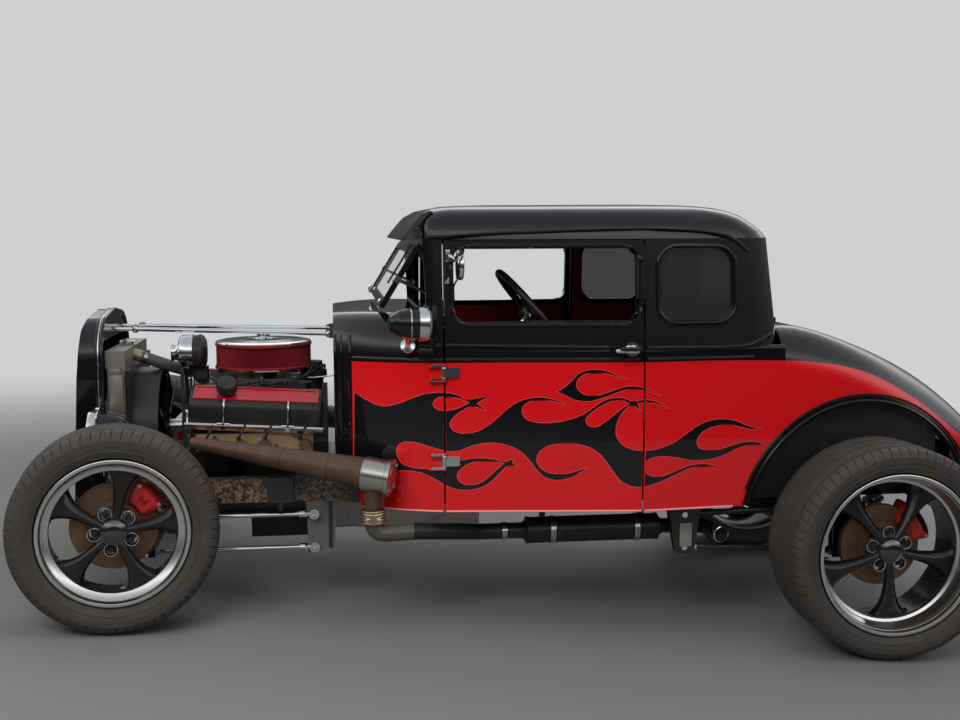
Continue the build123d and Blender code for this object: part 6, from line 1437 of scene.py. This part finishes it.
smooth.levels = smooth.render_levels = 1
soft = bpy.data.meshes.new_from_object(bench.evaluated_get(bpy.context.evaluated_depsgraph_get()))
bench.modifiers.clear()
bench.data = soft
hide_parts("seat")
shape = bmesh.new()
for side in (1, -1):
    for edge in (((1548, 600), (1546, 640), (1556, 668), (1580, 684), (1720, 678), (1880, 664), (1944, 656)),
            ((1976, 690), (2004, 860), (2030, 1016), (2048, 1042), (2072, 1049), (2096, 1042))):
        tube(shape, [at(s, side * 492, z) for s, z in edge], 0.0045, 8, 4, 0)
tube(shape, [at(1545, y, 655) for y in range(-490, 491, 70)], 0.0045, 8, 2, 0)
block(shape, (-1978, -464, 491.5), (-1602, 464, 549), 1, 4)
block(shape, (-2215, -560, 927.5), (-2126, 560, 935), 1, 2)
piece("seat_piping_and_base", shape, (red_vinyl, black_vinyl), "chassis")

# Dash, controls and floor. A black dash with a turned aluminium panel of plain dials, a chrome
# column and lever, a dished black wheel with drilled spokes, pedals, a shifter and cut carpet.
carpet = finish("cut_carpet", (0.016, 0.014, 0.014), 0.95, 0, ((0.045, 0.012, 0.013), 26, 0.3, 0.15, 1.0,
    1200, 1.0))
dial = finish("dial_face", (0.72, 0.7, 0.62), 0.4)
turned_metal = finish("turned_aluminium", (0.55, 0.55, 0.54), 0.28, 1.0)
swirl = node(turned_metal, "TexVoronoi", {"Vector": node(turned_metal, "TexCoord").outputs["Object"],
    "Scale": 70})
relief(turned_metal, swirl.outputs["Distance"], 0.3)
for name in ("dash", "firewall"):
    paint(black_paint, name)
paint(satin_black, "steering_wheel")
paint(chrome, "steering_column")
shape = bmesh.new()
for y0, y1 in ((120, 500), (-440, -180)):
    block(shape, (-1113.5, y0, 932), (-1108.5, y1, 990), 0, 2)
rod(shape, at(1112, -310, 961), at(1122, -310, 961), 0.009, 20, 1)
for y, radius in ((160, 17), (208, 17), (268, 25), (392, 25), (452, 17)):
    face = there(1112.5, y, 961) @ QUARTER["Z"]
    r = radius / 1000
    spun(shape, ((radius - 1, 0), (radius + 3, 0), (radius + 3.5, 4), (radius + 1, 8), (radius - 1, 6)), face,
        36, 1)
    spun(shape, ((radius, 3), (0, 3)), face, 36, 2)
    for k in range(9):
        a = -0.7 + k * 0.575
        rod(shape, face @ Vector((cos(a) * r * 0.72, 0.0034, sin(a) * r * 0.72)),
            face @ Vector((cos(a) * r * 0.9, 0.0034, sin(a) * r * 0.9)), 0.0006, 4, 3)
    rod(shape, face @ Vector((0, 0.0045, 0)), face @ Vector((-r * 0.55, 0.0045, r * 0.5)), 0.0009, 6, 4)
    rod(shape, face @ Vector((0, 0.003, 0)), face @ Vector((0, 0.006, 0)), 0.003, 12, 3)
for y in (-120, -80, 60, 96):
    rod(shape, at(1110, y, 962), at(1124, y, 962), 0.0075, 16, 1)
tube(shape, [at(1320, 300, 955), at(1322, 240, 975), at(1330, 190, 992)], 0.0045, 10, 4, 1)
rod(shape, at(1330, 196, 990), at(1333, 176, 996), 0.01, 16, 3)
rod(shape, at(1300, 0, 588), at(1300, 0, 604), 0.046, 32, 3, 0.02)
tube(shape, [at(1300, 0, 600), at(1296, 0, 700), at(1318, 0, 800), at(1340, 0, 862)], 0.0075, 14, 6, 1)
spun(shape, ((0, 22), (12, 20), (21, 10), (24, -2), (20, -14), (10, -22), (0, -23)),
    there(1345, 0, 880) @ QUARTER["X"], 28, 3)
for y, wide, s, z in ((250, 30, 905, 640), (330, 30, 905, 640), (198, 22, 880, 610)):
    block(shape, (-(s + 8), y - wide, z - 26), (-s, y + wide, z + 26), 3, 3)
    tube(shape, [at(s, y, z), at(s - 40, y, z + 70), at(s - 90, y, z + 150), at(s - 110, y, z + 220)], 0.006,
        8, 4, 1)
rod(shape, at(1050, 0, 1268), at(1052, 0, 1292), 0.006, 12, 1)
block(shape, (-1060, -95, 1232), (-1046, 95, 1272), 3, 6)
block(shape, (-1061.5, -90, 1236), (-1059.5, 90, 1268), 5)
piece("dash_and_controls", shape, (turned_metal, chrome, dial, black_vinyl, caliper_red, mirror_glass),
    "chassis", stance)
rake = radians(40)
hand = there(1420, 330, 1046) @ Matrix(((0, -sin(rake), -cos(rake), 0), (1, 0, 0, 0),
    (0, -cos(rake), sin(rake), 0), (0, 0, 0, 1)))
shape = bmesh.new()
for k in range(3):
    spoke = hand @ Matrix.Rotation(pi / 2 + k * 2 * pi / 3, 4, "Z")
    loft(shape, [[spoke @ Vector((r, w * v, z + t)) for v, t in ((-1, -0.0035), (1, -0.0035), (1, 0.0035),
        (-1, 0.0035))] for r, w, z in ((0.026, 0.018, -0.026), (0.07, 0.016, -0.021), (0.13, 0.014, -0.0105),
        (0.176, 0.015, -0.002))])
    for r, z in ((0.075, -0.0155), (0.105, -0.01), (0.135, -0.0045)):
        rod(shape, spoke @ Vector((r, 0, z)), spoke @ Vector((r, 0, z - 0.0015)), 0.0075, 16, 1)
spun(shape, ((0, 6), (16, 5), (27, 1), (34, -10), (37, -13), (37, -18), (30, -40)), hand @ QUARTER["X"], 40,
    0)
spun(shape, ((0, 7.5), (14, 6.5), (18, 3.5), (18, 0)), hand @ QUARTER["X"], 32, 1)
for k in range(44):
    a = 2 * pi * k / 44
    spun(shape, ((12.8, -0.8), (13.6, 0), (12.8, 0.8)), hand @ Matrix.Rotation(a, 4,
        "Z") @ Matrix.Translation((0.186, 0, 0)), 14, 1)
piece("hand_wheel_fittings", shape, (polished, black_vinyl), "steering_wheel")
shape = bmesh.new()
grid = []
for i in range(33):
    s, column = 790 + 24 * i, []
    for j in range(35):
        y = -476 + 28 * j
        y *= min(1, (300 + (s - 760) * 0.68 - 8) / 476) if s < 1060 else 1
        hit = skin_of("floor_pan").ray_cast(stance @ at(s, y, 700), stance.to_3x3() @ Vector((0, 0, -1)))[0]
        column.append(hit and shape.verts.new(stance.inverted() @ hit + Vector((0, 0, 0.004))))
    grid.append(column)
for one, two in zip(grid, grid[1:]):
    for j in range(34):
        corners = (one[j], one[j + 1], two[j + 1], two[j])
        if all(corners):
            shape.faces.new(corners)
bmesh.ops.recalc_face_normals(shape, faces=shape.faces[:])
if sum(face.normal.z for face in shape.faces) < 0:
    bmesh.ops.reverse_faces(shape, faces=shape.faces[:])
piece("floor_carpet", shape, (carpet,), "chassis")
